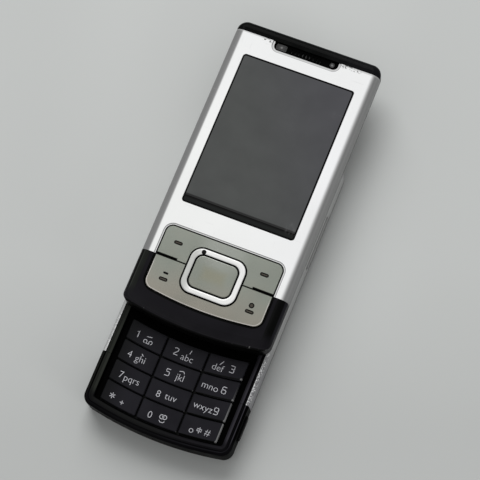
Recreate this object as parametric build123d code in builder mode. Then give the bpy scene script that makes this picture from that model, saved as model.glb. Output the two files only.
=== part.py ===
from build123d import *
import os
from math import sqrt

# A slider phone, standing open on its back. X runs across, Y along the phone towards the
# earpiece, Z out of the display. The origin is under the middle of the open phone.

# ---------------------------------------------------------------- driving dimensions (mm)
# Both halves
width = 46.5
closed_length = 96.5
slide_travel = 31.5
bow_radius = 108.0          # both bottom ends, the key panel and the key rows bow alike
corner_radius = 3.2
trim_length = 18.4          # dark end piece at the foot of each half
side_wall = 1.0
seam = 0.1                  # between two covers that meet
inner_gap = 0.15            # from a cover's wall to what stands inside it
flush_gap = 0.05            # a part that rests in a recess stays this much below the face

# Slider half
slider_thick = 6.0
slide_gap = 0.3
slider_edge = 2.4           # roll of the face into the sides and the top end
roll_run_out = 0.03         # the rolls' form stands this much past each side
foot_edge = 0.7             # sharper edge at the slider's bottom end
floor_edge = 0.4
face_wall = 1.2
back_plate = 0.85
cap_length = 3.6
chassis_floor = 0.4
chassis_clear = 1.0         # room between the back plate and the chassis floor

# Display
window_width = 35.8
window_above_panel = 7.9
window_corner = 1.0
window_from_top = 10.6
lens_thick = 0.8
lens_gap = 0.08
lens_ledge = 1.1
lens_bevel = 0.12
module_border = 1.3         # module past the window on every side
module_thick = 2.45
glass_inset = 1.0           # from the module's edge in to the glass
glass_thick = 0.9

# Earpiece notch
notch_width = 20.6
notch_height = 2.65
notch_corner = 1.5
notch_bevel = 0.7
notch_ledge_depth = 0.3
grille_thick = 0.5
grille_sink = 0.55
grille_slots = 9
grille_slot = 0.5
grille_slot_length = 1.3
grille_pitch = 1.15
camera_block = (3.4, 1.9)
camera_block_corner = 0.5
camera_block_x = -7.9
selfie_lens_radius = 0.65
sensor_radius = 0.75
sensor_x = 8.45
receiver = (12.0, 4.6, 2.2)
receiver_tube = 1.2
receiver_room = 1.0         # around the notch, for the receiver below it

# Function keys below the display
panel_width = 36.84
panel_from_bottom = 6.8
panel_height = 21.3
panel_top_corner = 2.1
panel_foot_corner = 2.6
panel_gap = 0.3
panel_ledge = 0.4           # shallow step in the covers round the keys' opening
panel_ledge_depth = 0.12
plate_thick = 1.0
plate_bevel = 0.1
split_slot = 0.8
split_line = 0.3
split_slot_start = 12.0
ring_size = (17.35, 14.2)
ring_corner = 3.6
ring_centre_from_bottom = 17.7
ring_rise = 0.4
ring_thick = 1.3
ring_edge = 0.55
select_size = (13.1, 9.95)
select_corner = 2.2
select_rise = 0.25
select_thick = 1.15
select_stem = (5.0, 4.0)
carrier_thick = 0.35
carrier_inset = 0.2
carrier_hole_gap = 0.45
pivot_radius = 0.25
pivot_length = 1.0
key_travel = 0.3
rocker_post_x = 13.6
rocker_post_drop = 3.7      # from the panel's outer edge in to a rocker's two posts
post_radius = 1.2
mat_thick = 0.3
dome_height = 0.2
dome_sheet_thick = 0.1
dome_radius = 2.0
board_thick = 0.8
small_board_thick = 0.6
mat_grow = 0.8              # mat, dome sheet and board past the key panel
function_room = 0.9         # bay in the chassis past the key panel
function_foot_wall = 2.0
function_board_feet = ((-12.0, 6.0), (12.0, 6.0), (0.0, -6.0))  # from the ring's centre

# Slide module between the halves
rail_plate = 0.4
rail_from_rim = 2.1
rail_wall = 0.4
rail_lip = 1.6
rail_height = 1.25
rail_from_edge = 2.4        # lower rail end, in from the open slider's bottom edge
end_rim = 1.0               # rim across the top end of the base
runner_gap = 0.1
runner_wall = 0.5
runner_clear = 0.4
spring_wire = 0.25          # radius
spring_eye_radius = 0.6
spring_fixed_x = 13.0
spring_knees = ((11.0, 7.0), (7.0, 10.0))  # x, and y past the fixed eye
spring_moving_x = 9.0
spring_moving_offset = 4.0  # moving eye, past the middle of the moving plate
spring_bend = 1.5
ribbon_width = 9.0
ribbon_thick = 0.12
ribbon_bend = 0.45
ribbon_rise = 1.0           # between the two legs of the fold
ribbon_fold_offset = 3.5    # fold, past the middle of the moving plate
ribbon_slot = 4.0

# Base half
base_thick = 9.7
base_edge = 0.95
back_edge = 2.0
cover_height = 2.3          # how far the rear covers reach up the sides
cover_wall = 0.7
side_rim = 2.95             # rim beside the keys, over the side wall
rim_thick = 1.4
rim_slope = 1.3             # the rim falls towards the keys over this width
rim_groove_inset = 1.15     # fine groove along the rim, from the outside in
rim_groove = 0.22
rim_groove_depth = 0.2
housing_plate = 0.7
deck_sink = 0.5
deck_from_keys = 1.45
well_foot = 2.8

# Number keys
keypad_from_rim = 1.9
key_middle_width = 12.6
key_column_gap = 0.55
key_rows = 4
key_row_pitch = 6.46
key_row_gap = 0.45
keypad_from_bottom = 3.3
key_sink = 0.35
key_thick = 1.5
key_corner = 0.45
key_bevel = 0.22
key_step = 0.5              # low step along each key's upper edge
key_step_depth = 0.13
key_clear = 0.15

# Keys on the edges
rocker_length = 17.0
rocker_height = 2.6
rocker_proud = 0.35
rocker_pivot_radius = 0.5
edge_key_depth = 1.6        # room behind the side wall for the keys on the edges
rocker_from_top = 24.5
rocker_z = 6.2
camera_key_length = 8.0
camera_key_height = 3.0
camera_key_proud = 0.6
camera_key_from_bottom = 12.2
camera_key_z = 5.2
power_key_size = (7.0, 2.2)
edge_key_gap = 0.12
edge_key_flange = 0.6
edge_key_lap = 0.8          # how much longer the flange is than the key
edge_key_play = 0.25        # from the flange to the wall it stops against

# Rear, battery and boards
split_from_top = 24.5       # the rear cover ends here and the camera band begins
battery_thick = 4.5
battery_from_bottom = 6.2
battery_edge = 0.4
battery_gap = 0.4
sim_size = (27.0, 16.0, 1.5)
sim_gap = 0.8
sim_from_split = 2.6
sim_rim = 1.0
board_inset = 1.6
shields = (                 # centre, from where the ribbon meets the board, then size
    ((-9.5, -18.5), (15.0, 19.0)),
    ((9.5, -18.5), (16.0, 19.0)),
    ((6.0, 7.0), (22.0, 11.0)),
)
camera_x = -9.0
camera_from_top = 14.0
camera_size = 10.6
camera_lens_radius = 3.2
window_ring_radius = 6.6
window_ring_thick = 0.8
window_ring_bevel = 0.25
flash_x = 1.2
flash_radius = 1.3
flash_pitch = 4.2
speaker_x = 12.5
speaker_from_top = 14.9
speaker_size = (12.0, 8.0, 2.6)
speaker_corner = 1.5
speaker_floor = 1.3         # wall behind the slots
speaker_slots = 6
speaker_slot = (0.8, 5.0)
speaker_slot_pitch = 1.7
motor_radius = 1.7
motor_length = 9.5
motor_weight_length = 3.2
motor_weight_arc = 180      # degrees
motor_room = 1.85           # across, beside the motor
motor_from_bottom = 36.0
microphone_radius = 1.5
microphone_height = 1.2
microphone_hole = 0.4
socket_z = 4.3
socket_depth = 7.0
socket_end_wall = 1.0
charger_from_side = 7.25
socket_gap = 2.5            # between neighbours on the top end
charger_radius = 1.0
headset_from_side = 6.0
headset_radius = 1.25
jack_size = (5.2, 3.1)
usb_size = (7.5, 2.6)
usb_mouth = (6.9, 1.8)
usb_tongue = (4.1, 0.55)
screw_radius = 0.7
screw_head_radius = 1.3
screw_head = 0.6
screw_cross = (1.8, 0.35)
screw_bite = 0.5
screw_boss_radius = 1.15
slider_screw_from_side = 2.65
slider_screw_from_bottom = 6.0
slider_screw_from_top = 6.5
base_screw_from_side = 3.6
base_screw_from_bottom = 5.5
base_screw_from_split = 3.0

# ---------------------------------------------------------------- derived places
half_width = width / 2
base_bottom = -(closed_length + slide_travel) / 2
base_top = base_bottom + closed_length
slider_bottom = base_bottom + slide_travel
slider_top = slider_bottom + closed_length
base_trim = base_bottom + trim_length
slider_trim = slider_bottom + trim_length
cap_line = slider_top - cap_length
slider_floor = base_thick + slide_gap
slider_face = slider_floor + slider_thick
face_under = slider_face - face_wall
cover_floor = slider_floor + back_plate + flush_gap
inner_inset = side_wall + inner_gap
across = (-width, width)
rim_inner = half_width - side_rim
cover_split_y = base_top - split_from_top

panel_half = panel_width / 2
panel_bottom = slider_bottom + panel_from_bottom
panel_top = panel_bottom + panel_height
window_low = panel_top + window_above_panel
window_height = slider_top - window_from_top - window_low
window_y = window_low + window_height / 2
module_width = window_width + 2 * module_border
module_height = window_height + 2 * module_border
lens_top = slider_face - flush_gap
lens_under = lens_top - lens_thick
chassis_low = slider_floor + back_plate + chassis_clear
pocket_floor = chassis_low + chassis_floor
chassis_top = face_under
module_top = pocket_floor + module_thick

ring_y = slider_bottom + ring_centre_from_bottom
ring_top = slider_face + ring_rise
ring_low = ring_top - ring_thick
plate_low = slider_face - plate_thick
carrier_top = ring_low - pivot_radius
carrier_low = carrier_top - carrier_thick
mat_top = carrier_low - pivot_radius
select_top = slider_face + select_rise
select_low = select_top - select_thick
select_stem_low = carrier_low + flush_gap
mat_low = mat_top - mat_thick
dome_base = mat_low - dome_height
function_board_top = dome_base - dome_sheet_thick

rail_half = rim_inner - rail_from_rim
housing_top = base_thick - rim_thick
housing_low = housing_top - housing_plate
rail_floor = housing_top
rail_top = rail_floor + rail_height
rail_lip_low = rail_top - rail_plate
runner_foot_low = rail_floor + rail_plate + runner_gap
runner_foot_top = rail_lip_low - runner_gap
well_high = base_top - inner_inset - end_rim
rail_high = well_high - inner_gap
rail_low = slider_bottom + rail_from_edge
runner_high = rail_high - runner_clear
runner_low = rail_low + runner_clear + slide_travel
runner_middle = (runner_low + runner_high) / 2

keypad_half = rim_inner - keypad_from_rim
key_side_width = keypad_half - key_middle_width / 2 - key_column_gap
keypad_bottom = base_bottom + keypad_from_bottom
keypad_top = keypad_bottom + key_rows * key_row_pitch
key_top = base_thick - key_sink
key_low = key_top - key_thick
number_mat_top = housing_low - flush_gap
number_mat_low = number_mat_top - mat_thick
number_dome_base = number_mat_low - dome_height
board_top = number_dome_base - dome_sheet_thick
board_low = board_top - board_thick

chassis_bottom = cover_wall + inner_gap
battery_low = chassis_bottom + inner_gap
camera_key_y = base_bottom + camera_key_from_bottom
wall_inside = half_width - side_wall
wall_end = base_top - side_wall
sim_y = cover_split_y - sim_from_split - sim_size[1] / 2
battery_low_y = base_bottom + battery_from_bottom
battery_high_y = sim_y - sim_size[1] / 2 - sim_gap - battery_gap
battery_y = (battery_low_y + battery_high_y) / 2
battery_size = (2 * (wall_inside - motor_room - 2 * motor_radius), battery_high_y - battery_low_y)
rocker_y = base_top - rocker_from_top
camera_y = base_top - camera_from_top
speaker_y = base_top - speaker_from_top
motor_y = base_bottom + motor_from_bottom
charger_x = half_width - charger_from_side
headset_x = headset_from_side - half_width
usb_x = charger_x - jack_size[0] / 2 - socket_gap - usb_size[0] / 2
power_key_x = usb_x - usb_size[0] / 2 - socket_gap - edge_key_lap / 2 - power_key_size[0] / 2

slider_screw_x = half_width - slider_screw_from_side
slider_screw_ys = (slider_bottom + slider_screw_from_bottom, slider_top - slider_screw_from_top)
slider_screw_places = [(x, y) for x in (-slider_screw_x, slider_screw_x) for y in slider_screw_ys]
base_screw_x = half_width - base_screw_from_side
base_screw_ys = (base_bottom + base_screw_from_bottom, cover_split_y - base_screw_from_split)
base_screw_places = [(x, y) for x in (-base_screw_x, base_screw_x) for y in base_screw_ys]


# ---------------------------------------------------------------- shared shapes
def bow(half):
    """How far a bowed end rises from its middle to a point half a chord out."""
    return bow_radius - sqrt(bow_radius**2 - half**2)


def bowed_plan(level, half, low, high, foot_corner, top_corner):
    """Plan at one level with straight sides, a flat top end and a bowed bottom end."""
    rise = bow(half)
    with BuildSketch(Plane.XY.offset(level)) as plan:
        with BuildLine():
            end = ThreePointArc((-half, low + rise), (0, low), (half, low + rise))
            Polyline(end @ 1, (half, high), (-half, high), end @ 0)
        make_face()
        if foot_corner > 0:
            fillet(plan.vertices().group_by(Axis.Y)[0], foot_corner)
        if top_corner > 0:
            fillet(plan.vertices().group_by(Axis.Y)[-1], top_corner)
    return plan.sketch


def half_plan(level, bottom, inset=0.0):
    """Plan of one half of the phone, taken in by an inset."""
    corner = corner_radius - inset
    high = bottom + closed_length - inset
    return bowed_plan(level, half_width - inset, bottom + inset, high, corner, corner)


def block(x, y, z, mode=Mode.ADD):
    """A box given by its three spans, each a low and a high value."""
    spans = (x, y, z)
    with Locations(tuple((low + high) / 2 for low, high in spans)):
        Box(*(high - low for low, high in spans), mode=mode)


def around(centre, size):
    """The span of a given size around a centre."""
    return (centre - size / 2, centre + size / 2)


def rounded_slab(centre, size, corner, low, high, mode=Mode.ADD):
    """A slab with rounded corners between two levels."""
    with BuildSketch(Plane.XY.offset(low)) as plan:
        with Locations(centre):
            RectangleRounded(size[0], size[1], corner)
    extrude(plan.sketch, amount=high - low, mode=mode)


def disc(centre, radius, low, high, mode=Mode.ADD):
    """An upright round post or hole between two levels."""
    with BuildSketch(Plane.XY.offset(low)) as plan:
        with Locations(centre):
            Circle(radius)
    extrude(plan.sketch, amount=high - low, mode=mode)


def outer_edges(part, face_end):
    """The edges of a part's highest or lowest flat face."""
    return part.faces().filter_by(Axis.Z).sort_by(Axis.Z)[face_end].edges()


finished = []


def keep(name, part):
    """Label a finished piece and list it for export."""
    part.label = name
    finished.append(part)


# ---------------------------------------------------------------- outer forms of both halves
with BuildPart() as slider_form:
    extrude(half_plan(slider_floor, slider_bottom), amount=slider_thick)
    fillet(outer_edges(slider_form, -1), slider_edge)
    fillet(outer_edges(slider_form, 0), floor_edge)

# The foot has the same rolled sides and a sharper edge round its end. The rolls run out
# just past the sides, so that they cut the rounded corners cleanly.
with BuildPart() as side_rolls:
    past_foot = slider_bottom - slider_thick
    roll_x = around(0, width + 2 * roll_run_out)
    block(roll_x, (past_foot, slider_top), (slider_floor - slider_thick, slider_face))
    fillet(side_rolls.faces().sort_by(Axis.Z)[-1].edges().filter_by(Axis.Y), slider_edge)

with BuildPart() as foot_form:
    extrude(half_plan(slider_floor, slider_bottom), amount=slider_thick)
    fillet(outer_edges(foot_form, -1), foot_edge)
    fillet(outer_edges(foot_form, 0), floor_edge)
    add(side_rolls.part, mode=Mode.INTERSECT)

with BuildPart() as base_form:
    extrude(half_plan(0, base_bottom), amount=base_thick)
    fillet(outer_edges(base_form, -1), base_edge)
    fillet(outer_edges(base_form, 0), back_edge)


def slider_shell(form, low, high):
    """The hollow skin of the slider between two cross planes."""
    add(form.part)
    hollow = half_plan(slider_floor, slider_bottom, side_wall)
    extrude(hollow, amount=face_under - slider_floor, mode=Mode.SUBTRACT)
    block(across, (low, high), (cover_floor, slider_face + ring_rise), Mode.INTERSECT)


def base_shell(low, high):
    """The side wall of the base between two cross planes, above the rear covers."""
    add(base_form.part)
    extrude(half_plan(0, base_bottom, side_wall), amount=base_thick, mode=Mode.SUBTRACT)
    block(across, (low, high), (cover_height + seam, base_thick), Mode.INTERSECT)


def slope_rim(part, edges):
    """Let the rim of the base fall towards the keys, down to the level of the deck."""
    top = part.faces().filter_by(Axis.Z).sort_by(Axis.Z)[-1]
    chamfer(edges, length=rim_slope, length2=deck_sink, reference=top)


def panel_plan(level, grow=0.0):
    """Plan of the function key panel, let out by a gap."""
    low = panel_bottom - grow
    high = panel_top + grow
    foot = panel_foot_corner + grow
    return bowed_plan(level, panel_half + grow, low, high, foot, panel_top_corner + grow)


def panel_opening():
    """The opening in a cover that the function keys stand in, with a step round it."""
    extrude(panel_plan(face_under, panel_gap), amount=face_wall, mode=Mode.SUBTRACT)
    ledge = panel_plan(slider_face - panel_ledge_depth, panel_gap + panel_ledge)
    extrude(ledge, amount=panel_ledge_depth, mode=Mode.SUBTRACT)


# ---------------------------------------------------------------- slider covers
with BuildPart() as front_cover:
    slider_shell(slider_form, slider_trim + seam / 2, cap_line - seam / 2)
    centre = (0, window_y)
    window = (window_width, window_height)
    view = (window_width - 2 * lens_ledge, window_height - 2 * lens_ledge)
    rounded_slab(centre, window, window_corner, lens_under, slider_face, Mode.SUBTRACT)
    rounded_slab(centre, view, window_corner, face_under, lens_under, Mode.SUBTRACT)
    panel_opening()
    # The notch runs out of the cover's top edge, so its slabs pass the cap line.
    notch_centre = (0, cap_line)
    notch = (notch_width, 2 * notch_height)
    bevel = (notch_width + 2 * notch_bevel, 2 * (notch_height + notch_bevel))
    rounded_slab(notch_centre, notch, notch_corner, face_under, slider_face, Mode.SUBTRACT)
    bevel_corner = notch_corner + notch_bevel
    bevel_low = slider_face - notch_ledge_depth
    rounded_slab(notch_centre, bevel, bevel_corner, bevel_low, slider_face, Mode.SUBTRACT)
keep("front_cover", front_cover.part)

with BuildPart() as top_cap:
    slider_shell(slider_form, cap_line + seam / 2, slider_top)
keep("top_cap", top_cap.part)

with BuildPart() as lower_cover:
    slider_shell(foot_form, slider_bottom, slider_trim - seam / 2)
    panel_opening()
keep("lower_cover", lower_cover.part)

runner_half = rail_half - rail_wall - rail_lip - runner_clear
ribbon_x = around(0, ribbon_width + 2 * runner_clear)

with BuildPart() as slider_back_cover:
    add(slider_form.part)
    block(across, (slider_bottom, slider_top), (slider_floor, slider_floor + back_plate), Mode.INTERSECT)
    plate_x = around(0, 2 * runner_half + 2 * inner_gap)
    plate_y = (runner_low - inner_gap, runner_high + inner_gap)
    block(plate_x, plate_y, (slider_floor, slider_floor + rail_plate), Mode.SUBTRACT)
    block(ribbon_x, around(runner_middle, ribbon_slot), (slider_floor, cover_floor), Mode.SUBTRACT)
    for place in slider_screw_places:
        disc(place, screw_head_radius + inner_gap, slider_floor, slider_floor + screw_head, Mode.SUBTRACT)
        disc(place, screw_radius + flush_gap, slider_floor, cover_floor, Mode.SUBTRACT)
keep("slider_back_cover", slider_back_cover.part)

# ---------------------------------------------------------------- slider chassis and display
receiver_low = pocket_floor
receiver_y = cap_line - receiver[1] / 2 + cap_length / 3
block_y = cap_line - notch_height / 2
function_low = slider_bottom + side_wall + function_foot_wall
function_high = panel_top + function_room
function_half = panel_half + function_room

slider_screw_tip = pocket_floor + screw_bite

with BuildPart() as slider_chassis:
    extrude(half_plan(chassis_low, slider_bottom, inner_inset), amount=chassis_top - chassis_low)
    module_pocket = (module_width + 2 * inner_gap, module_height + 2 * inner_gap)
    rounded_slab((0, window_y), module_pocket, window_corner, pocket_floor, chassis_top, Mode.SUBTRACT)
    head_low = window_y + module_height / 2 + side_wall
    head_high = slider_top - inner_inset - side_wall
    head_x = around(0, notch_width + 2 * receiver_room)
    block(head_x, (head_low, head_high), (pocket_floor, chassis_top), Mode.SUBTRACT)
    function_well = bowed_plan(
        pocket_floor, function_half, function_low, function_high, corner_radius, window_corner
    )
    extrude(function_well, amount=chassis_top - pocket_floor, mode=Mode.SUBTRACT)
    # Bosses reach down from the chassis to the back plate around each screw.
    boss_low = slider_floor + back_plate
    for place in slider_screw_places:
        disc(place, screw_head_radius, boss_low, chassis_low)
        disc(place, screw_radius, boss_low, slider_screw_tip, Mode.SUBTRACT)
keep("slider_chassis", slider_chassis.part)

with BuildPart() as display_window:
    lens = (window_width - 2 * lens_gap, window_height - 2 * lens_gap)
    rounded_slab((0, window_y), lens, window_corner - lens_gap, lens_under, lens_top)
    chamfer(outer_edges(display_window, -1), lens_bevel)
keep("display_window", display_window.part)

with BuildPart() as display_module:
    glass_low = module_top - glass_thick
    glass = (module_width - 2 * glass_inset, module_height - 2 * glass_inset)
    rounded_slab((0, window_y), (module_width, module_height), window_corner, pocket_floor, glass_low)
    rounded_slab((0, window_y), glass, lens_bevel, glass_low, module_top)
keep("display_module", display_module.part)

# ---------------------------------------------------------------- earpiece group
grille_top = slider_face - grille_sink
grille_low = grille_top - grille_thick

with BuildPart() as earpiece:
    receiver_x = around(0, receiver[0])
    block(receiver_x, around(receiver_y, receiver[1]), (receiver_low, receiver_low + receiver[2]))
    fillet(earpiece.edges().filter_by(Axis.Z), receiver_tube)
    disc((0, block_y), receiver_tube, receiver_low + receiver[2], grille_low)
keep("earpiece", earpiece.part)

with BuildPart() as earpiece_grille:
    bar = (notch_width - 2 * inner_gap, 2 * notch_height - 2 * inner_gap)
    rounded_slab(notch_centre, bar, notch_corner - inner_gap, grille_low, grille_top)
    block(across, (cap_line - notch_height, cap_line - seam), (grille_low, grille_top), Mode.INTERSECT)
    slots_x = [(index - (grille_slots - 1) / 2) * grille_pitch for index in range(grille_slots)]
    for slot_x in slots_x:
        slot_span = around(slot_x, grille_slot)
        slot_y = around(block_y, grille_slot_length)
        block(slot_span, slot_y, (grille_low, grille_top), Mode.SUBTRACT)
    hole = (camera_block[0] + 2 * lens_gap, camera_block[1] + 2 * lens_gap)
    hole_centre = (camera_block_x, block_y)
    hole_corner = camera_block_corner + lens_gap
    rounded_slab(hole_centre, hole, hole_corner, grille_low, grille_top, Mode.SUBTRACT)
    disc((sensor_x, block_y), sensor_radius + lens_gap, grille_low, grille_top, Mode.SUBTRACT)
keep("earpiece_grille", earpiece_grille.part)

with BuildPart() as front_camera:
    body_top = grille_top + lens_gap
    rounded_slab((camera_block_x, block_y), camera_block, camera_block_corner, receiver_low, body_top)
    disc((camera_block_x, block_y), selfie_lens_radius, body_top, body_top + lens_gap)
keep("front_camera", front_camera.part)

with BuildPart() as light_sensor:
    disc((sensor_x, block_y), sensor_radius, receiver_low, grille_top + lens_gap)
keep("light_sensor", light_sensor.part)

# ---------------------------------------------------------------- function keys
plate_split_high = slider_trim + split_line / 2
plate_split_low = slider_trim - split_line / 2
soft_post_y = panel_top - rocker_post_drop
call_post_y = panel_bottom + rocker_post_drop + bow(rocker_post_x)
ring_opening = (ring_size[0] + 2 * panel_gap, ring_size[1] + 2 * panel_gap)
select_opening = (select_size[0] + 2 * panel_gap, select_size[1] + 2 * panel_gap)


def rocker_plate(low, high, pivot_y):
    """One half of the function panel: it rocks about a pivot bar under its middle."""
    extrude(panel_plan(plate_low), amount=plate_thick)
    centre = (0, ring_y)
    corner = ring_corner + panel_gap
    rounded_slab(centre, ring_opening, corner, plate_low, slider_face, Mode.SUBTRACT)
    block(across, (low, high), (plate_low, slider_face), Mode.INTERSECT)
    with Locations((0, pivot_y, plate_low)):
        Cylinder(pivot_radius, pivot_length, rotation=(90, 0, 0))


with BuildPart() as soft_key_plate:
    soft_pivot_y = (panel_top + ring_y + ring_opening[1] / 2) / 2
    rocker_plate(plate_split_high, panel_top, soft_pivot_y)
    slot_high = plate_split_low + split_slot
    for side in (-1, 1):
        slot_x = sorted((side * split_slot_start, side * half_width))
        block(slot_x, (plate_split_low, slot_high), (plate_low, slider_face), Mode.SUBTRACT)
    chamfer(outer_edges(soft_key_plate, -1), plate_bevel)
keep("soft_key_plate", soft_key_plate.part)

with BuildPart() as call_end_plate:
    call_pivot_y = (panel_bottom + ring_y - ring_opening[1] / 2) / 2
    rocker_plate(panel_bottom, plate_split_low, call_pivot_y)
    chamfer(outer_edges(call_end_plate, -1), plate_bevel)
keep("call_end_plate", call_end_plate.part)

ring_bar_x = (ring_size[0] + select_opening[0]) / 4
ring_bar_y = (ring_size[1] + select_opening[1]) / 4

with BuildPart() as nav_ring:
    rounded_slab((0, ring_y), ring_size, ring_corner, ring_low, ring_top)
    hole_corner = select_corner + panel_gap
    rounded_slab((0, ring_y), select_opening, hole_corner, ring_low, ring_top, Mode.SUBTRACT)
    fillet(outer_edges(nav_ring, -1), ring_edge)
    # Two bars under the ring let it tip left and right on its carrier.
    with Locations((0, ring_y - ring_bar_y, ring_low), (0, ring_y + ring_bar_y, ring_low)):
        Cylinder(pivot_radius, pivot_length, rotation=(90, 0, 0))
keep("nav_ring", nav_ring.part)

with BuildPart() as nav_carrier:
    carrier = (ring_size[0] - 2 * carrier_inset, ring_size[1] - 2 * carrier_inset)
    rounded_slab((0, ring_y), carrier, ring_corner - carrier_inset, carrier_low, carrier_top)
    hole = (select_size[0] + 2 * carrier_hole_gap, select_size[1] + 2 * carrier_hole_gap)
    rounded_slab((0, ring_y), hole, select_corner, carrier_low, carrier_top, Mode.SUBTRACT)
    # Two bars under the carrier let it tip up and down on the key mat.
    with Locations((-ring_bar_x, ring_y, carrier_low), (ring_bar_x, ring_y, carrier_low)):
        Cylinder(pivot_radius, pivot_length, rotation=(0, 90, 0))
keep("nav_carrier", nav_carrier.part)

with BuildPart() as select_key:
    rounded_slab((0, ring_y), select_size, select_corner, select_low, select_top)
    fillet(outer_edges(select_key, -1), select_rise)
    stem_x = around(0, select_stem[0])
    block(stem_x, around(ring_y, select_stem[1]), (select_stem_low, select_low))
keep("select_key", select_key.part)

soft_posts = [(side * rocker_post_x, soft_post_y) for side in (-1, 1)]
call_posts = [(side * rocker_post_x, call_post_y) for side in (-1, 1)]
nav_posts = [(0, ring_y - ring_bar_y), (0, ring_y + ring_bar_y)]
dome_places = soft_posts + call_posts + nav_posts + [(0, ring_y)]

with BuildPart() as function_keymat:
    extrude(panel_plan(mat_low, mat_grow), amount=mat_thick)
    for place in soft_posts + call_posts:
        disc(place, post_radius, mat_top, plate_low)
    for pivot_y in (soft_pivot_y, call_pivot_y):
        block(around(0, pivot_length), around(pivot_y, pivot_length), (mat_top, plate_low - pivot_radius))
    for place in nav_posts:
        disc(place, pivot_radius, mat_top, carrier_low)
    disc((0, ring_y), post_radius, mat_top, select_stem_low)
keep("function_keymat", function_keymat.part)

with BuildPart() as function_dome_sheet:
    extrude(panel_plan(function_board_top, mat_grow), amount=dome_sheet_thick)
    for place in dome_places:
        disc(place, dome_radius, dome_base, mat_low)
keep("function_dome_sheet", function_dome_sheet.part)

with BuildPart() as function_board:
    extrude(panel_plan(function_board_top - small_board_thick, mat_grow), amount=small_board_thick)
    # Three short feet carry the board on the chassis floor.
    for foot_x, foot_rise in function_board_feet:
        disc((foot_x, ring_y + foot_rise), post_radius, pocket_floor, function_board_top - small_board_thick)
keep("function_board", function_board.part)

# ---------------------------------------------------------------- slide module
moving_plate_top = slider_floor + rail_plate
wire_level = rail_floor + rail_plate + 2 * spring_wire
wire_fixed_y = (rail_low + rail_high) / 2
wire_moving_y = runner_middle + spring_moving_offset

ribbon_foot_y = wire_fixed_y

with BuildPart() as slide_rails:
    rails_y = (rail_low, rail_high)
    block((-rail_half, rail_half), rails_y, (rail_floor, rail_floor + rail_plate))
    for side in (-1, 1):
        wall_x = sorted((side * (rail_half - rail_wall), side * rail_half))
        lip_x = sorted((side * (rail_half - rail_wall - rail_lip), side * rail_half))
        block(wall_x, rails_y, (rail_floor, rail_top))
        block(lip_x, rails_y, (rail_lip_low, rail_top))
        eye = (side * spring_fixed_x, wire_fixed_y)
        disc(eye, spring_eye_radius, rail_floor + rail_plate, wire_level - spring_wire)
    block(ribbon_x, around(ribbon_foot_y, ribbon_slot), (rail_floor, rail_top), Mode.SUBTRACT)
keep("slide_rails", slide_rails.part)

with BuildPart() as moving_slide_plate:
    runner_y = (runner_low, runner_high)
    block(around(0, 2 * runner_half), runner_y, (slider_floor, moving_plate_top))
    for side in (-1, 1):
        leg_x = sorted((side * (runner_half - runner_wall), side * runner_half))
        foot_end = rail_half - rail_wall - runner_clear
        foot_x = sorted((side * (runner_half - runner_wall), side * foot_end))
        block(leg_x, runner_y, (runner_foot_low, slider_floor))
        block(foot_x, runner_y, (runner_foot_low, runner_foot_top))
        eye = (side * spring_moving_x, wire_moving_y)
        disc(eye, spring_eye_radius, wire_level + spring_wire, slider_floor)
    block(ribbon_x, around(runner_middle, ribbon_slot), (slider_floor, moving_plate_top), Mode.SUBTRACT)
keep("moving_slide_plate", moving_slide_plate.part)

# Two bent wires snap the slide open or shut. Each runs from an eye on the rail plate
# to an eye on the moving plate.
with BuildPart() as slide_springs:
    for side in (-1, 1):
        knees = [(side * x, wire_fixed_y + rise) for x, rise in spring_knees]
        with BuildLine(Plane.XY.offset(wire_level)) as wire:
            fixed_eye = (side * spring_fixed_x, wire_fixed_y)
            Polyline(fixed_eye, *knees, (side * spring_moving_x, wire_moving_y))
            fillet(wire.vertices().sort_by(Axis.Y)[1:-1], spring_bend)
        with BuildSketch(Plane(origin=wire.line @ 0, z_dir=wire.line % 0)):
            Circle(spring_wire)
        sweep(path=wire.line)
keep("slide_springs", slide_springs.part)

# The ribbon rises from the main board, folds back on itself under the slider and goes up
# through the moving plate.
ribbon_low = rail_floor + rail_plate + flush_gap + ribbon_thick / 2
ribbon_high = ribbon_low + ribbon_rise
ribbon_fold_y = runner_middle + ribbon_fold_offset
with BuildPart() as flex_ribbon:
    with BuildSketch(Plane.YZ):
        with BuildLine():
            FilletPolyline(
                (ribbon_foot_y, board_top + ribbon_thick / 2),
                (ribbon_foot_y, ribbon_low),
                (ribbon_fold_y, ribbon_low),
                (ribbon_fold_y, ribbon_high),
                (runner_middle, ribbon_high),
                (runner_middle, chassis_low - ribbon_thick),
                radius=ribbon_bend,
            )
            offset(amount=ribbon_thick / 2, side=Side.BOTH)
        make_face()
    extrude(amount=ribbon_width / 2, both=True)
keep("flex_ribbon", flex_ribbon.part)

# ---------------------------------------------------------------- base covers
well_x = (-rim_inner - flush_gap, rim_inner + flush_gap)

with BuildPart() as side_frame:
    base_shell(base_trim + seam / 2, base_top)
    # Slot for the volume rocker, then the holes in the top end.
    slot_y = around(rocker_y, rocker_length + 2 * edge_key_gap)
    slot_z = around(rocker_z, rocker_height + 2 * edge_key_gap)
    block((wall_inside - seam, half_width), slot_y, slot_z, Mode.SUBTRACT)
    end_y = (wall_end - seam, base_top)
    power_x = around(power_key_x, power_key_size[0] + 2 * edge_key_gap)
    power_z = around(socket_z, power_key_size[1] + 2 * edge_key_gap)
    block(power_x, end_y, power_z, Mode.SUBTRACT)
    block(around(usb_x, usb_size[0]), end_y, around(socket_z, usb_size[1]), Mode.SUBTRACT)
    for jack_x in (charger_x, headset_x):
        with Locations((jack_x, base_top - side_wall / 2, socket_z)):
            Cylinder(jack_size[1] / 2, 2 * side_wall, rotation=(90, 0, 0), mode=Mode.SUBTRACT)
keep("side_frame", side_frame.part)

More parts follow.
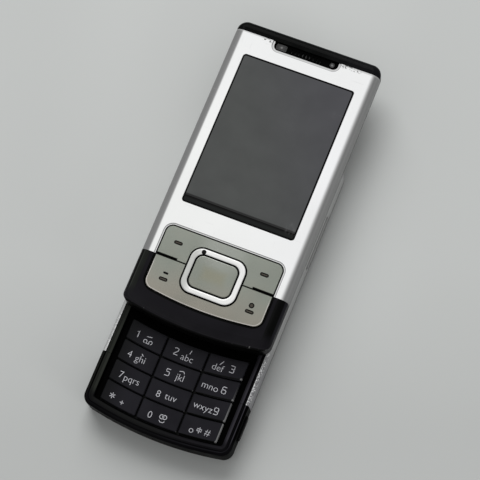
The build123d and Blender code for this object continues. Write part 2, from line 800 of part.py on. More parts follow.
with BuildPart() as base_lower_cover:
    base_shell(base_bottom, base_trim - seam / 2)
    # The rim beside and below the keys, in one piece with the wall.
    rim_corner = corner_radius - side_wall
    rim_low = base_bottom + side_wall
    rim_high = base_trim - seam / 2
    rim = bowed_plan(housing_top, wall_inside, rim_low, rim_high, rim_corner, 0)
    extrude(rim, amount=rim_thick)
    key_well = bowed_plan(housing_top, rim_inner, base_bottom + well_foot, base_trim, window_corner, 0)
    extrude(key_well, amount=rim_thick, mode=Mode.SUBTRACT)
    # The well's own edges lie within its sides, above the cover's bottom edge.
    well_edges = outer_edges(base_lower_cover, -1).filter_by_position(Axis.X, *well_x)
    slope_rim(base_lower_cover, well_edges.sort_by(Axis.Y)[1:])
    groove_low = base_thick - rim_groove_depth
    groove_inner = rim_groove_inset + rim_groove
    with BuildSketch(Plane.XY.offset(groove_low)) as groove:
        add(half_plan(groove_low, base_bottom, rim_groove_inset))
        add(half_plan(groove_low, base_bottom, groove_inner), mode=Mode.SUBTRACT)
    extrude(groove.sketch, amount=rim_groove_depth, mode=Mode.SUBTRACT)
    key_slot_y = around(camera_key_y, camera_key_length + 2 * edge_key_gap)
    key_slot_z = around(camera_key_z, camera_key_height + 2 * edge_key_gap)
    block((wall_inside - seam, half_width), key_slot_y, key_slot_z, Mode.SUBTRACT)
    with Locations((0, base_bottom + side_wall / 2, base_thick / 2)):
        Cylinder(microphone_hole, 2 * side_wall, rotation=(90, 0, 0), mode=Mode.SUBTRACT)
keep("base_lower_cover", base_lower_cover.part)

with BuildPart() as cover_cavity:
    extrude(half_plan(cover_wall, base_bottom, cover_wall), amount=base_thick)
    fillet(outer_edges(cover_cavity, 0), back_edge - cover_wall)

with BuildPart() as battery_cover:
    add(base_form.part)
    add(cover_cavity.part, mode=Mode.SUBTRACT)
    block(across, (base_bottom, cover_split_y - seam), (0, cover_height), Mode.INTERSECT)
keep("battery_cover", battery_cover.part)

# ---------------------------------------------------------------- keypad housing and keys
key_columns = (             # left edge and width
    (-keypad_half, key_side_width),
    (-key_middle_width / 2, key_middle_width),
    (keypad_half - key_side_width, key_side_width),
)
deck_low = keypad_top + deck_from_keys
opening_half = keypad_half + key_clear


def key_outline(level, left, right, low, high, corner):
    """Plan of one key: straight sides between two bowed lines."""
    with BuildSketch(Plane.XY.offset(level)) as plan:
        with BuildLine():
            middle = (left + right) / 2
            foot = ThreePointArc(
                (left, low + bow(left)), (middle, low + bow(middle)), (right, low + bow(right))
            )
            head = ThreePointArc(
                (right, high + bow(right)), (middle, high + bow(middle)), (left, high + bow(left))
            )
            Line(foot @ 1, head @ 0)
            Line(head @ 1, foot @ 0)
        make_face()
        fillet(plan.vertices(), corner)
    return plan.sketch


with BuildPart() as keypad_housing:
    extrude(half_plan(housing_low, base_bottom, inner_inset), amount=housing_plate)
    # Rims on both sides and along the top end.
    extrude(half_plan(housing_top, base_bottom, inner_inset), amount=rim_thick)
    block(around(0, 2 * rim_inner), (base_bottom, well_high), (housing_top, base_thick), Mode.SUBTRACT)
    block(across, (base_bottom, base_trim + seam / 2), (housing_top, base_thick), Mode.SUBTRACT)
    side_edges = outer_edges(keypad_housing, -1).filter_by(Axis.Y)
    slope_rim(keypad_housing, side_edges.filter_by_position(Axis.X, *well_x))
    # A low deck closes the key well above the first row.
    deck = bowed_plan(housing_top, rim_inner, deck_low, rail_low - inner_gap, 0, 0)
    extrude(deck, amount=rim_thick - deck_sink)
    low = keypad_bottom - key_clear
    high = keypad_top + key_clear
    opening = key_outline(housing_low, -opening_half, opening_half, low, high, key_corner)
    extrude(opening, amount=housing_plate, mode=Mode.SUBTRACT)
    block(ribbon_x, around(ribbon_foot_y, ribbon_slot), (housing_low, housing_top), Mode.SUBTRACT)
    # Bosses stand on the rear chassis around the screws.
    for place in base_screw_places:
        disc(place, screw_boss_radius, board_low, housing_low)
        disc(place, screw_radius, board_low, housing_low + screw_bite, Mode.SUBTRACT)
keep("keypad_housing", keypad_housing.part)

key_names = ("1", "2", "3", "4", "5", "6", "7", "8", "9", "star", "0", "hash")
key_centres = []
for index, key_name in enumerate(key_names):
    row, column = divmod(index, len(key_columns))
    left, key_width = key_columns[column]
    right = left + key_width
    row_top = keypad_top - row * key_row_pitch
    low = row_top - key_row_pitch + key_row_gap / 2
    high = row_top - key_row_gap / 2
    middle = (left + right) / 2
    key_centres.append((middle, (low + high) / 2 + bow(middle)))
    with BuildPart() as number_key:
        extrude(key_outline(key_low, left, right, low, high, key_corner), amount=key_thick)
        chamfer(outer_edges(number_key, -1), key_bevel)
        step = key_outline(key_top - key_step_depth, left, right, high - key_step, high, lens_bevel)
        extrude(step, amount=key_step_depth, mode=Mode.SUBTRACT)
    keep(f"key_{key_name}", number_key.part)

with BuildPart() as keypad_mat:
    edge = 2 * key_clear
    low = keypad_bottom - edge
    high = keypad_top + edge
    sheet = key_outline(number_mat_low, -keypad_half - edge, keypad_half + edge, low, high, key_corner)
    extrude(sheet, amount=mat_thick)
    for place in key_centres:
        disc(place, post_radius, number_mat_top, key_low)
keep("keypad_mat", keypad_mat.part)

with BuildPart() as keypad_dome_sheet:
    sheet = key_outline(board_top, -keypad_half, keypad_half, keypad_bottom, keypad_top, key_corner)
    extrude(sheet, amount=dome_sheet_thick)
    for place in key_centres:
        disc(place, dome_radius, number_dome_base, number_mat_low)
keep("keypad_dome_sheet", keypad_dome_sheet.part)

# ---------------------------------------------------------------- boards and shields
with BuildPart() as main_board:
    extrude(half_plan(board_low, base_bottom, board_inset), amount=board_thick)
    hole = camera_size + 2 * battery_gap
    block(around(camera_x, hole), around(camera_y, hole), (board_low, board_top), Mode.SUBTRACT)
    for place in base_screw_places:
        disc(place, screw_head_radius, board_low, board_top, Mode.SUBTRACT)
    # Room for the keys on the right edge.
    for key_y, key_length in ((rocker_y, rocker_length), (camera_key_y, camera_key_length)):
        room_y = around(key_y, key_length + edge_key_lap + 4 * edge_key_gap)
        block((wall_inside - edge_key_depth, half_width), room_y, (board_low, board_top), Mode.SUBTRACT)
keep("main_board", main_board.part)

with BuildPart() as shield_cans:
    for (shield_x, shield_rise), shield_size in shields:
        shield_centre = (shield_x, ribbon_foot_y + shield_rise)
        rounded_slab(shield_centre, shield_size, key_corner, board_top, housing_low - flush_gap)
keep("shield_cans", shield_cans.part)

# ---------------------------------------------------------------- rear chassis and what it holds
bay_y = around(battery_y, battery_size[1] + 2 * battery_gap)
bay_x = around(0, battery_size[0] + 2 * battery_gap)
sim_bay_y = around(sim_y, sim_size[1] + 2 * battery_gap)
sim_bay_x = around(0, sim_size[0] + 2 * battery_gap)
bay_z = (0, board_low)
motor_x = -(battery_size[0] / 2 + battery_gap + wall_inside) / 2
motor_z = chassis_bottom + inner_gap + motor_radius
socket_low = socket_z - jack_size[1] / 2
socket_end = wall_end - inner_gap
window_seat = window_ring_thick + lens_gap
microphone_place = (0, base_bottom + inner_inset + 2 * microphone_radius)
microphone_low = board_low - microphone_height

with BuildPart() as camera_band:
    add(base_form.part)
    block(across, (cover_split_y, base_top), (0, cover_height), Mode.INTERSECT)

with BuildPart() as rear_chassis:
    extrude(half_plan(chassis_bottom, base_bottom, inner_inset), amount=board_low - chassis_bottom)
    fillet(outer_edges(rear_chassis, 0), back_edge - inner_inset)
    add(camera_band.part)
    block(bay_x, bay_y, bay_z, Mode.SUBTRACT)
    block(sim_bay_x, sim_bay_y, bay_z, Mode.SUBTRACT)
    # Camera well, with a seat for its round window.
    well = camera_size + 2 * inner_gap
    block(around(camera_x, well), around(camera_y, well), (cover_height, board_low), Mode.SUBTRACT)
    disc((camera_x, camera_y), camera_lens_radius + inner_gap, 0, cover_height, Mode.SUBTRACT)
    disc((camera_x, camera_y), window_ring_radius + lens_gap, 0, window_seat, Mode.SUBTRACT)
    for side in (-1, 1):
        flash_place = (flash_x, camera_y + side * flash_pitch / 2)
        disc(flash_place, flash_radius + lens_gap, 0, board_low, Mode.SUBTRACT)
    # Loudspeaker chamber with slots through the back.
    chamber_x = around(speaker_x, speaker_size[0] + 2 * inner_gap)
    chamber_y = around(speaker_y, speaker_size[1] + 2 * inner_gap)
    block(chamber_x, chamber_y, (speaker_floor, board_low), Mode.SUBTRACT)
    for index in range(speaker_slots):
        slot_x = speaker_x + (index - (speaker_slots - 1) / 2) * speaker_slot_pitch
        slot_y = around(speaker_y, speaker_slot[1])
        block(around(slot_x, speaker_slot[0]), slot_y, (0, speaker_floor), Mode.SUBTRACT)
    # Pockets for the motor, the sockets and the edge keys.
    motor_pocket_x = around(motor_x, 2 * motor_radius + 2 * inner_gap)
    motor_pocket_y = around(motor_y, motor_length + 2 * inner_gap)
    block(motor_pocket_x, motor_pocket_y, (chassis_bottom, board_low), Mode.SUBTRACT)
    socket_pocket_y = (socket_end - socket_depth - inner_gap, base_top)
    sockets = ((charger_x, jack_size[0]), (headset_x, jack_size[0]), (usb_x, usb_size[0]))
    for socket_x, socket_width in sockets:
        pocket_x = around(socket_x, socket_width + 2 * inner_gap)
        block(pocket_x, socket_pocket_y, (socket_low - inner_gap, board_low), Mode.SUBTRACT)
    power_pocket_x = around(power_key_x, power_key_size[0] + edge_key_lap + 4 * edge_key_gap)
    power_pocket_y = (socket_end - edge_key_depth - key_travel, base_top)
    block(power_pocket_x, power_pocket_y, (cover_height + seam, board_low), Mode.SUBTRACT)
    for key_y, key_length in ((rocker_y, rocker_length), (camera_key_y, camera_key_length)):
        pocket_y = around(key_y, key_length + edge_key_lap + 4 * edge_key_gap)
        pocket_x = (wall_inside - edge_key_depth, half_width)
        block(pocket_x, pocket_y, (cover_height + seam, board_low), Mode.SUBTRACT)
    disc(microphone_place, microphone_radius + lens_gap, microphone_low, board_low, Mode.SUBTRACT)
    for place in base_screw_places:
        disc(place, screw_radius + flush_gap, 0, board_low, Mode.SUBTRACT)
        head_top = chassis_bottom + flush_gap + screw_head
        disc(place, screw_head_radius + inner_gap, 0, head_top, Mode.SUBTRACT)
keep("rear_chassis", rear_chassis.part)

with BuildPart() as battery:
    battery_top = battery_low + battery_thick
    rounded_slab((0, battery_y), battery_size, window_corner, battery_low, battery_top)
    fillet(battery.faces().filter_by(Axis.Z).edges(), battery_edge)
keep("battery", battery.part)

with BuildPart() as sim_holder:
    low = board_low - sim_size[2]
    block(around(0, sim_size[0]), around(sim_y, sim_size[1]), (low, board_low))
    card_x = around(0, sim_size[0] - 2 * sim_rim)
    card_y = around(sim_y, sim_size[1] - 2 * sim_rim)
    block(card_x, card_y, (low, board_low - rail_plate), Mode.SUBTRACT)
keep("sim_holder", sim_holder.part)

with BuildPart() as rear_camera:
    low = cover_height + lens_gap
    block(around(camera_x, camera_size), around(camera_y, camera_size), (low, housing_low - flush_gap))
    disc((camera_x, camera_y), camera_lens_radius, window_seat + lens_gap, low)
keep("rear_camera", rear_camera.part)

with BuildPart() as camera_window:
    disc((camera_x, camera_y), window_ring_radius, 0, window_ring_thick)
    chamfer(outer_edges(camera_window, 0), window_ring_bevel)
keep("camera_window", camera_window.part)

with BuildPart() as flash_leds:
    for side in (-1, 1):
        flash_place = (flash_x, camera_y + side * flash_pitch / 2)
        disc(flash_place, flash_radius, flush_gap, board_low)
keep("flash_leds", flash_leds.part)

with BuildPart() as loudspeaker:
    low = speaker_floor + flush_gap
    speaker_z = (low, low + speaker_size[2])
    block(around(speaker_x, speaker_size[0]), around(speaker_y, speaker_size[1]), speaker_z)
    fillet(loudspeaker.edges().filter_by(Axis.Z), speaker_corner)
keep("loudspeaker", loudspeaker.part)

with BuildPart() as vibration_motor:
    can_length = motor_length - motor_weight_length
    with Locations((motor_x, motor_y - motor_weight_length / 2, motor_z)):
        Cylinder(motor_radius, can_length, rotation=(90, 0, 0))
    # The off-centre weight at the end of the motor.
    with Locations((motor_x, motor_y + can_length / 2, motor_z)):
        Cylinder(motor_radius, motor_weight_length, arc_size=motor_weight_arc, rotation=(90, 0, 0))
keep("vibration_motor", vibration_motor.part)

with BuildPart() as microphone:
    disc(microphone_place, microphone_radius, microphone_low, board_low)
keep("microphone", microphone.part)

# ---------------------------------------------------------------- keys on the edges
def side_key(centre_y, centre_z, length, height, proud):
    """A key through the right wall, with a flange inside that stops it falling out."""
    inner_x = wall_inside - edge_key_play
    with BuildSketch(Plane.YZ.offset(inner_x)) as cap:
        with Locations((centre_y, centre_z)):
            RectangleRounded(length, height, height / 2 - seam)
    extrude(cap.sketch, amount=half_width + proud - inner_x)
    fillet(faces().sort_by(Axis.X)[-1].edges(), proud - flush_gap)
    with BuildSketch(Plane.YZ.offset(inner_x - edge_key_flange)) as flange:
        with Locations((centre_y, centre_z)):
            Rectangle(length + edge_key_lap, height)
    extrude(flange.sketch, amount=edge_key_flange)


with BuildPart() as volume_rocker:
    side_key(rocker_y, rocker_z, rocker_length, rocker_height, rocker_proud)
    # A bar behind the middle of the flange is what the key rocks on.
    with Locations((wall_inside - edge_key_play - edge_key_flange, rocker_y, rocker_z)):
        Cylinder(rocker_pivot_radius, rocker_height - 2 * seam)
keep("volume_rocker", volume_rocker.part)

with BuildPart() as camera_key:
    side_key(camera_key_y, camera_key_z, camera_key_length, camera_key_height, camera_key_proud)
keep("camera_key", camera_key.part)

with BuildPart() as power_key:
    power_inner = wall_end - edge_key_play
    with BuildSketch(Plane.XZ.offset(-power_inner)):
        with Locations((power_key_x, socket_z)):
            RectangleRounded(power_key_size[0], power_key_size[1], power_key_size[1] / 2 - seam)
    extrude(amount=-(base_top - power_inner))
    with BuildSketch(Plane.XZ.offset(-(power_inner - edge_key_flange))):
        with Locations((power_key_x, socket_z)):
            Rectangle(power_key_size[0] + edge_key_lap, power_key_size[1])
    extrude(amount=-edge_key_flange)
keep("power_key", power_key.part)

# ---------------------------------------------------------------- sockets in the top end
socket_y = (socket_end - socket_depth, socket_end)
socket_z_span = (socket_low, board_low)


def jack(x, radius):
    """A round socket: a block on the board with a bore from the top end."""
    block(around(x, jack_size[0]), socket_y, socket_z_span)
    barrel = base_top - socket_end
    bore = base_top - socket_y[0] - socket_end_wall
    with Locations((x, base_top - barrel / 2, socket_z)):
        Cylinder(jack_size[1] / 2 - lens_gap, barrel, rotation=(90, 0, 0))
    with Locations((x, base_top - bore / 2, socket_z)):
        Cylinder(radius, bore, rotation=(90, 0, 0), mode=Mode.SUBTRACT)


with BuildPart() as charger_jack:
    jack(charger_x, charger_radius)
keep("charger_jack", charger_jack.part)

with BuildPart() as headset_jack:
    jack(headset_x, headset_radius)
keep("headset_jack", headset_jack.part)

with BuildPart() as usb_socket:
    usb_y = (socket_y[0], base_top - lens_gap)
    usb_z = around(socket_z, usb_size[1] - 2 * lens_gap)
    block(around(usb_x, usb_size[0] - 2 * lens_gap), usb_y, usb_z)
    mouth_y = (socket_y[0] + socket_end_wall, base_top)
    block(around(usb_x, usb_mouth[0]), mouth_y, around(socket_z, usb_mouth[1]), Mode.SUBTRACT)
    tongue_y = (socket_y[0] + socket_end_wall, wall_end)
    block(around(usb_x, usb_tongue[0]), tongue_y, around(socket_z, usb_tongue[1]))
keep("usb_socket", usb_socket.part)


# ---------------------------------------------------------------- screws
def screws(places, head_low, tip):
    """Cross-head screws with their heads down, as one group."""
    for x, y in places:
        disc((x, y), screw_head_radius, head_low, head_low + screw_head)
        disc((x, y), screw_radius, head_low + screw_head, tip)
        for size_x, size_y in (screw_cross, screw_cross[::-1]):
            cut_z = (head_low, head_low + screw_head / 2)
            block(around(x, size_x), around(y, size_y), cut_z, Mode.SUBTRACT)


with BuildPart() as slider_screws:
    screws(slider_screw_places, slider_floor, slider_screw_tip)
keep("slider_screws", slider_screws.part)

with BuildPart() as base_screws:
    screws(base_screw_places, chassis_bottom + flush_gap, housing_low + screw_bite)
keep("base_screws", base_screws.part)

# ---------------------------------------------------------------- export
os.makedirs("parts", exist_ok=True)
for piece in finished:
    export_step(piece, f"parts/{piece.label}.step")
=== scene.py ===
from math import cos, pi, radians, sin

import bmesh
import bpy
from mathutils import Matrix, Vector


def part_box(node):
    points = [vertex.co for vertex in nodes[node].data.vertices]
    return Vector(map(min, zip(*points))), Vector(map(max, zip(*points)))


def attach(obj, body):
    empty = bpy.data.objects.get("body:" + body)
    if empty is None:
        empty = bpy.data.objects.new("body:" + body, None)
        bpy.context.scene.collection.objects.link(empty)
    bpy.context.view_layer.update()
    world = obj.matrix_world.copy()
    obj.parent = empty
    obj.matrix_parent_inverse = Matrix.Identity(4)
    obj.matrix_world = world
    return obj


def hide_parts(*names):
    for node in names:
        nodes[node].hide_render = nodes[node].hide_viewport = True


# Looks of a slider phone, lying open on its back. X runs across, Y towards the earpiece, Z out
# of the display. Lengths are in millimetres unless a comment says otherwise.
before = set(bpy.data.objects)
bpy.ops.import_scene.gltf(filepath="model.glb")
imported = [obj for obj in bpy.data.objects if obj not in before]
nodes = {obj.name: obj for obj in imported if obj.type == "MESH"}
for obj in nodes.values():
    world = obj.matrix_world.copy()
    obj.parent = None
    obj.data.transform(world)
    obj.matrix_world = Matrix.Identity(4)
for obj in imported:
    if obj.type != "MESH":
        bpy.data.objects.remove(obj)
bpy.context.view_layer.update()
MM = 0.001


def span(node):
    """Lowest and highest corner of a CAD node."""
    low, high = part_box(node)
    return low / MM, high / MM


# ---- places read from the frame
face_high = span("front_cover")[1]
foot_low = span("lower_cover")[0]
base_low, base_high = span("base_lower_cover")
side_high = span("side_frame")[1]
window_low, window_high = span("display_window")
notch_low, notch_high = span("earpiece_grille")
soft_low, soft_high = span("soft_key_plate")
call_low, call_high = span("call_end_plate")
ring_low, ring_high = span("nav_ring")
select_low, select_high = span("select_key")
eye_low, eye_high = span("camera_window")
flash_low, flash_high = span("flash_leds")
battery_low, battery_high = span("battery")
sim_low, sim_high = span("sim_holder")
block_low, block_high = span("front_camera")
sensor_low, sensor_high = span("light_sensor")
six_low, six_high = span("key_6")
eight_low = span("key_8")[0]
zero_low = span("key_0")[0]

BOW = 108.0                 # radius of the bowed ends
CORNER = 3.2                # of both halves
WINDOW_CORNER = 0.8
NOTCH_CORNER = 1.5
NOTCH_GAP = 0.3             # round the earpiece grille, both sides together
NOTCH_LEDGE = 0.7           # width of the low ledge round the notch
PANEL_TOP_CORNER = 2.1      # of the function keys, where they stand in the face
PANEL_FOOT_CORNER = 2.6     # of the function keys, where they stand in the foot
PANEL_GAP = 0.3             # between the covers and the function keys
PANEL_LEDGE = 0.7           # from the function keys to the step round them
RING_CORNER = 3.6
SELECT_CORNER = 2.2
FACE_Z = face_high.z
HALF_WIDTH = face_high.x
CAP_LINE = face_high.y      # where the face ends at the black cap
window_centre = (window_low + window_high) / 2
window_size = window_high - window_low
notch_centre = (0, CAP_LINE)
notch_size = (notch_high.x - notch_low.x + NOTCH_GAP, 2 * (CAP_LINE - notch_low.y) + NOTCH_GAP)
panel_centre = (0, (call_low.y + soft_high.y) / 2)
panel_size = (soft_high.x - soft_low.x, soft_high.y - call_low.y)
ring_centre = (ring_low + ring_high) / 2
ring_size = ring_high - ring_low
eye_centre = (eye_low + eye_high) / 2


# ---- node trees
MIX_INPUTS = (0, 6, 7)      # of a Mix node for colours: the factor and both colours
MIX_OUTPUT = 2
BAND_SOFT = 0.09            # half of the width over which one band turns into the next
COLOUR_SHARES = (0.25, 0.75)    # where a pattern makes a colour darkest and lightest
ROUGH_SHARES = (0.3, 0.7)   # where a pattern makes a surface smoothest and roughest


class Finish:
    """One material. Its patterns are worked out from the model's own coordinates, in mm."""

    def __init__(self, name, specular=0.5, **constants):
        self.material = bpy.data.materials.new(name)
        self.material.use_nodes = True
        self.tree = self.material.node_tree
        self.shader = self.tree.nodes["Principled BSDF"]
        self.shader.inputs["Specular IOR Level"].default_value = specular
        for socket, value in constants.items():
            self.shader.inputs[socket.replace("_", " ")].default_value = value
        place = self.node("TexCoord", output="Object")
        self.point = self.node("VectorMath", place, operation="SCALE", named={"Scale": 1 / MM})
        parts = self.tree.nodes.new("ShaderNodeSeparateXYZ")
        self.feed(parts.inputs[0], self.point)
        self.x, self.y, self.z = parts.outputs

    def feed(self, socket, value):
        """Link a node's output to a socket, or set the socket's own value."""
        if isinstance(value, bpy.types.NodeSocket):
            self.tree.links.new(value, socket)
        else:
            socket.default_value = value

    def node(self, kind, *values, output=0, named=None, **settings):
        """Add a node, fill its inputs in order or by name, and return one output."""
        node = self.tree.nodes.new("ShaderNode" + kind)
        for name, value in settings.items():
            setattr(node, name, value)
        for socket, value in zip(node.inputs, values):
            self.feed(socket, value)
        for name, value in (named or {}).items():
            self.feed(node.inputs[name], value)
        return node.outputs[output]

    def math(self, operation, *values):
        return self.node("Math", *values, operation=operation)

    def plus(self, *values):
        total = values[0]
        for value in values[1:]:
            total = self.math("ADD", total, value)
        return total

    def times(self, *values):
        product = values[0]
        for value in values[1:]:
            product = self.math("MULTIPLY", product, value)
        return product

    def minus(self, first, second):
        return self.math("SUBTRACT", first, second)

    def most(self, first, second):
        return self.math("MAXIMUM", first, second)

    def apart(self, first, second):
        """How far apart two values are."""
        return self.math("ABSOLUTE", self.minus(first, second))

    def length(self, *values):
        """Length of a line that runs this far along each axis."""
        return self.math("SQRT", self.plus(*(self.times(value, value) for value in values)))

    def step(self, value, low, high):
        """0 below low, 1 above high, smooth between them. The other way round if low > high."""
        inputs = (value, min(low, high), max(low, high))
        targets = (0.0, 1.0) if low < high else (1.0, 0.0)
        return self.node("MapRange", *inputs, *targets, interpolation_type="SMOOTHSTEP")

    def near(self, value, centre, reach, soft):
        """1 where a value is within reach of a centre, fading over a soft edge."""
        return self.step(self.apart(value, centre), reach + soft, reach)

    def waves(self, value, pitch):
        """Even waves from -1 to 1 along a value, one to each pitch."""
        return self.math("SINE", self.times(value, 2 * pi / pitch))

    def noise(self, scale, detail=2.0, roughness=0.5, stretch=None, turn=0.0):
        """Noise about 0.5, with scale features to the mm; turned and stretched if asked."""
        point = self.point
        if stretch:
            turned = {"Rotation": (0, 0, turn), "Scale": stretch}
            point = self.node("Mapping", point, named=turned)
        inputs = {"Vector": point, "Scale": scale, "Detail": detail, "Roughness": roughness}
        return self.node("TexNoise", named=inputs)

    def cells(self, scale):
        """Distance to the middle of the nearest cell, with scale cells to the mm."""
        return self.node("TexVoronoi", named={"Vector": self.point, "Scale": scale})

    def round_distance(self, centre):
        """Distance from an upright line."""
        return self.length(self.minus(self.x, centre[0]), self.minus(self.y, centre[1]))

    def box_distance(self, centre, size, corner):
        """Distance outside a rounded rectangle; negative inside it."""
        away = []
        for value, middle, length in zip((self.x, self.y), centre, size):
            away.append(self.minus(self.apart(value, middle), length / 2 - corner))
        corner_reach = self.length(*[self.most(value, 0.0) for value in away])
        inside = self.math("MINIMUM", self.most(*away), 0.0)
        return self.plus(corner_reach, inside, -corner)

    def bow_distance(self, low):
        """Distance up from a bowed line whose middle is at y = low."""
        return self.minus(BOW, self.round_distance((0, low + BOW)))

    def bowed_inset(self, half, low, corner):
        """Distance in from a bowed end with rounded corners, up to the corners' radius."""
        sides = self.minus(half, self.math("ABSOLUTE", self.x))
        short = [self.most(self.minus(corner, value), 0.0)
                 for value in (sides, self.bow_distance(low))]
        return self.minus(corner, self.length(*short))

    def bands(self, value, colour, *stops):
        """A colour that changes at each (place, next colour) along a value."""
        for place, following in stops:
            turned = self.step(value, place - BAND_SOFT, place + BAND_SOFT)
            colour = self.mix(turned, colour, following)
        return colour

    def mix(self, factor, first, second):
        """The first colour at factor 0, the second at 1."""
        node = self.tree.nodes.new("ShaderNodeMix")
        node.data_type = "RGBA"
        for index, value in zip(MIX_INPUTS, (factor, first, second)):
            self.feed(node.inputs[index], value)
        return node.outputs[MIX_OUTPUT]

    def vary(self, colour, share, amount):
        """A colour made lighter and darker by up to an amount, as a 0 to 1 pattern says."""
        gain = self.node("MapRange", share, *COLOUR_SHARES, 1 - amount, 1 + amount)
        return self.node("HueSaturation", named={"Value": gain, "Color": colour})

    def bump(self, *layers):
        """Surface relief from (height pattern, depth in mm) layers."""
        normal = None
        for height, depth in layers:
            node = self.tree.nodes.new("ShaderNodeBump")
            node.inputs["Distance"].default_value = abs(depth) * MM
            node.invert = depth < 0
            self.feed(node.inputs["Height"], height)
            if normal is not None:
                self.feed(node.inputs["Normal"], normal)
            normal = node.outputs[0]
        self.feed(self.shader.inputs["Normal"], normal)

    def colour(self, value):
        self.feed(self.shader.inputs["Base Color"], value)

    def rough(self, low, high, share):
        """Roughness between two values, as a 0 to 1 pattern says."""
        value = self.node("MapRange", share, *ROUGH_SHARES, low, high)
        self.feed(self.shader.inputs["Roughness"], value)


PLAIN = (1.0, 1.0, 1.0)
COOL = (0.97, 0.98, 1.04)


def grey(value, tint=PLAIN):
    """A level as a colour, tinted if asked."""
    return (value * tint[0], value * tint[1], value * tint[2], 1.0)


# ---- outer finishes
FLAKE = 9.0                 # flakes of the silver paint to the mm


def silver_paint():
    """Fine silver paint on the face: flake, hairline scratches and chips along the cap."""
    paint = Finish("silver_paint", Metallic=0.12, specular=0.3)
    flake = paint.noise(FLAKE, 1.0)
    cloud = paint.noise(0.05, 2.0)
    # Painted reflection and shade: the paint is cooler at the upper right and darker at the top.
    cast = paint.step(paint.plus(paint.x, paint.times(paint.y, 0.5)), -15, 50)
    colour = paint.mix(cast, grey(0.94, (0.992, 1.0, 0.990)), grey(0.94, (0.994, 0.996, 1.012)))
    colour = paint.mix(paint.step(paint.y, 25, 60), colour, grey(0.88, (0.994, 0.999, 1.0)))
    colour = paint.vary(colour, flake, 0.03)
    colour = paint.vary(colour, cloud, 0.03)
    # Painted shade: down the rolled sides the paint is a darker grey, darker on the left, with a
    # painted dark line along the right roll.
    out = paint.math("ABSOLUTE", paint.x)
    left = paint.step(paint.x, 2.75 - HALF_WIDTH, 2.05 - HALF_WIDTH)
    right = paint.step(paint.x, HALF_WIDTH - 2.7, HALF_WIDTH - 1.3)
    colour = paint.mix(left, colour, grey(0.21))
    colour = paint.mix(right, colour, grey(0.27))
    colour = paint.mix(paint.near(paint.x, HALF_WIDTH - 1.1, 0.1, 0.3), colour, grey(0.23))
    # The ledges round the notch and the keys are greyer, with a painted shade line along their
    # steps.
    from_notch = paint.box_distance(notch_centre, notch_size, NOTCH_CORNER)
    ledge = paint.step(from_notch, NOTCH_LEDGE + 0.02, NOTCH_LEDGE - 0.06)
    colour = paint.mix(paint.times(ledge, 0.65), colour, grey(0.45))
    from_panel = paint.box_distance(panel_centre, panel_size, PANEL_TOP_CORNER)
    ledge = paint.step(from_panel, PANEL_LEDGE, PANEL_LEDGE - 0.1)
    colour = paint.mix(ledge, colour, grey(0.80))
    painted_step_shade = paint.most(paint.near(from_notch, NOTCH_LEDGE, 0.05, 0.07),
                           paint.near(from_panel, PANEL_LEDGE + 0.05, 0.09, 0.07))
    colour = paint.mix(paint.times(painted_step_shade, 0.75), colour, grey(0.12))
    across = paint.step(paint.noise(1.0, 2.0, stretch=(0.12, 3.4, 1.0), turn=0.6), 0.70, 0.74)
    down = paint.step(paint.noise(1.0, 2.0, stretch=(2.9, 0.10, 1.0), turn=0.25), 0.71, 0.75)
    scratches = paint.most(across, down)
    colour = paint.mix(paint.times(scratches, 0.18), colour, grey(0.45))
    # Painted shade along the seam with the cap, wider on the right.
    to_cap = paint.plus(CAP_LINE, paint.times(paint.y, -1.0), paint.times(cast, -0.15))
    painted_seam_shade = paint.times(paint.step(to_cap, 0.42, 0.22), paint.step(from_notch, 0.7, 1.1))
    colour = paint.mix(paint.times(painted_seam_shade, 0.55), colour, grey(0.42))
    # Chips down to the dark plastic, beside the notch along the cap.
    chips = paint.step(paint.noise(1.7, 3.0, 0.6), 0.54, 0.58)
    beside = paint.near(out, 14.2, 2.8, 0.8)
    along = paint.step(paint.y, CAP_LINE - 1.4, CAP_LINE - 0.7)
    not_far_left = paint.step(paint.x, -14.5, -13.5)
    chipped = paint.times(chips, beside, along, not_far_left)
    colour = paint.mix(paint.times(chipped, 0.85), colour, grey(0.08))
    # Painted shade: the walls of the openings are painted dark, and so is a strip along the
    # window's right and upper edges.
    window_shade_centre = (window_centre.x + 0.12, window_centre.y + 0.08)
    from_window = paint.box_distance(window_shade_centre, window_size, WINDOW_CORNER)
    colour = paint.mix(paint.step(from_window, 0.06, 0.0), colour, grey(0.03))
    notch_wall_shade = paint.step(from_notch, 0.05, 0.0)
    panel_wall_shade = paint.step(from_panel, PANEL_GAP + 0.12, PANEL_GAP + 0.04)
    colour = paint.mix(paint.most(notch_wall_shade, panel_wall_shade), colour, grey(0.006))
    paint.colour(colour)
    paint.rough(0.42, 0.52, cloud)
    paint.bump((flake, 0.004), (scratches, -0.01), (chipped, -0.05))
    return paint.material


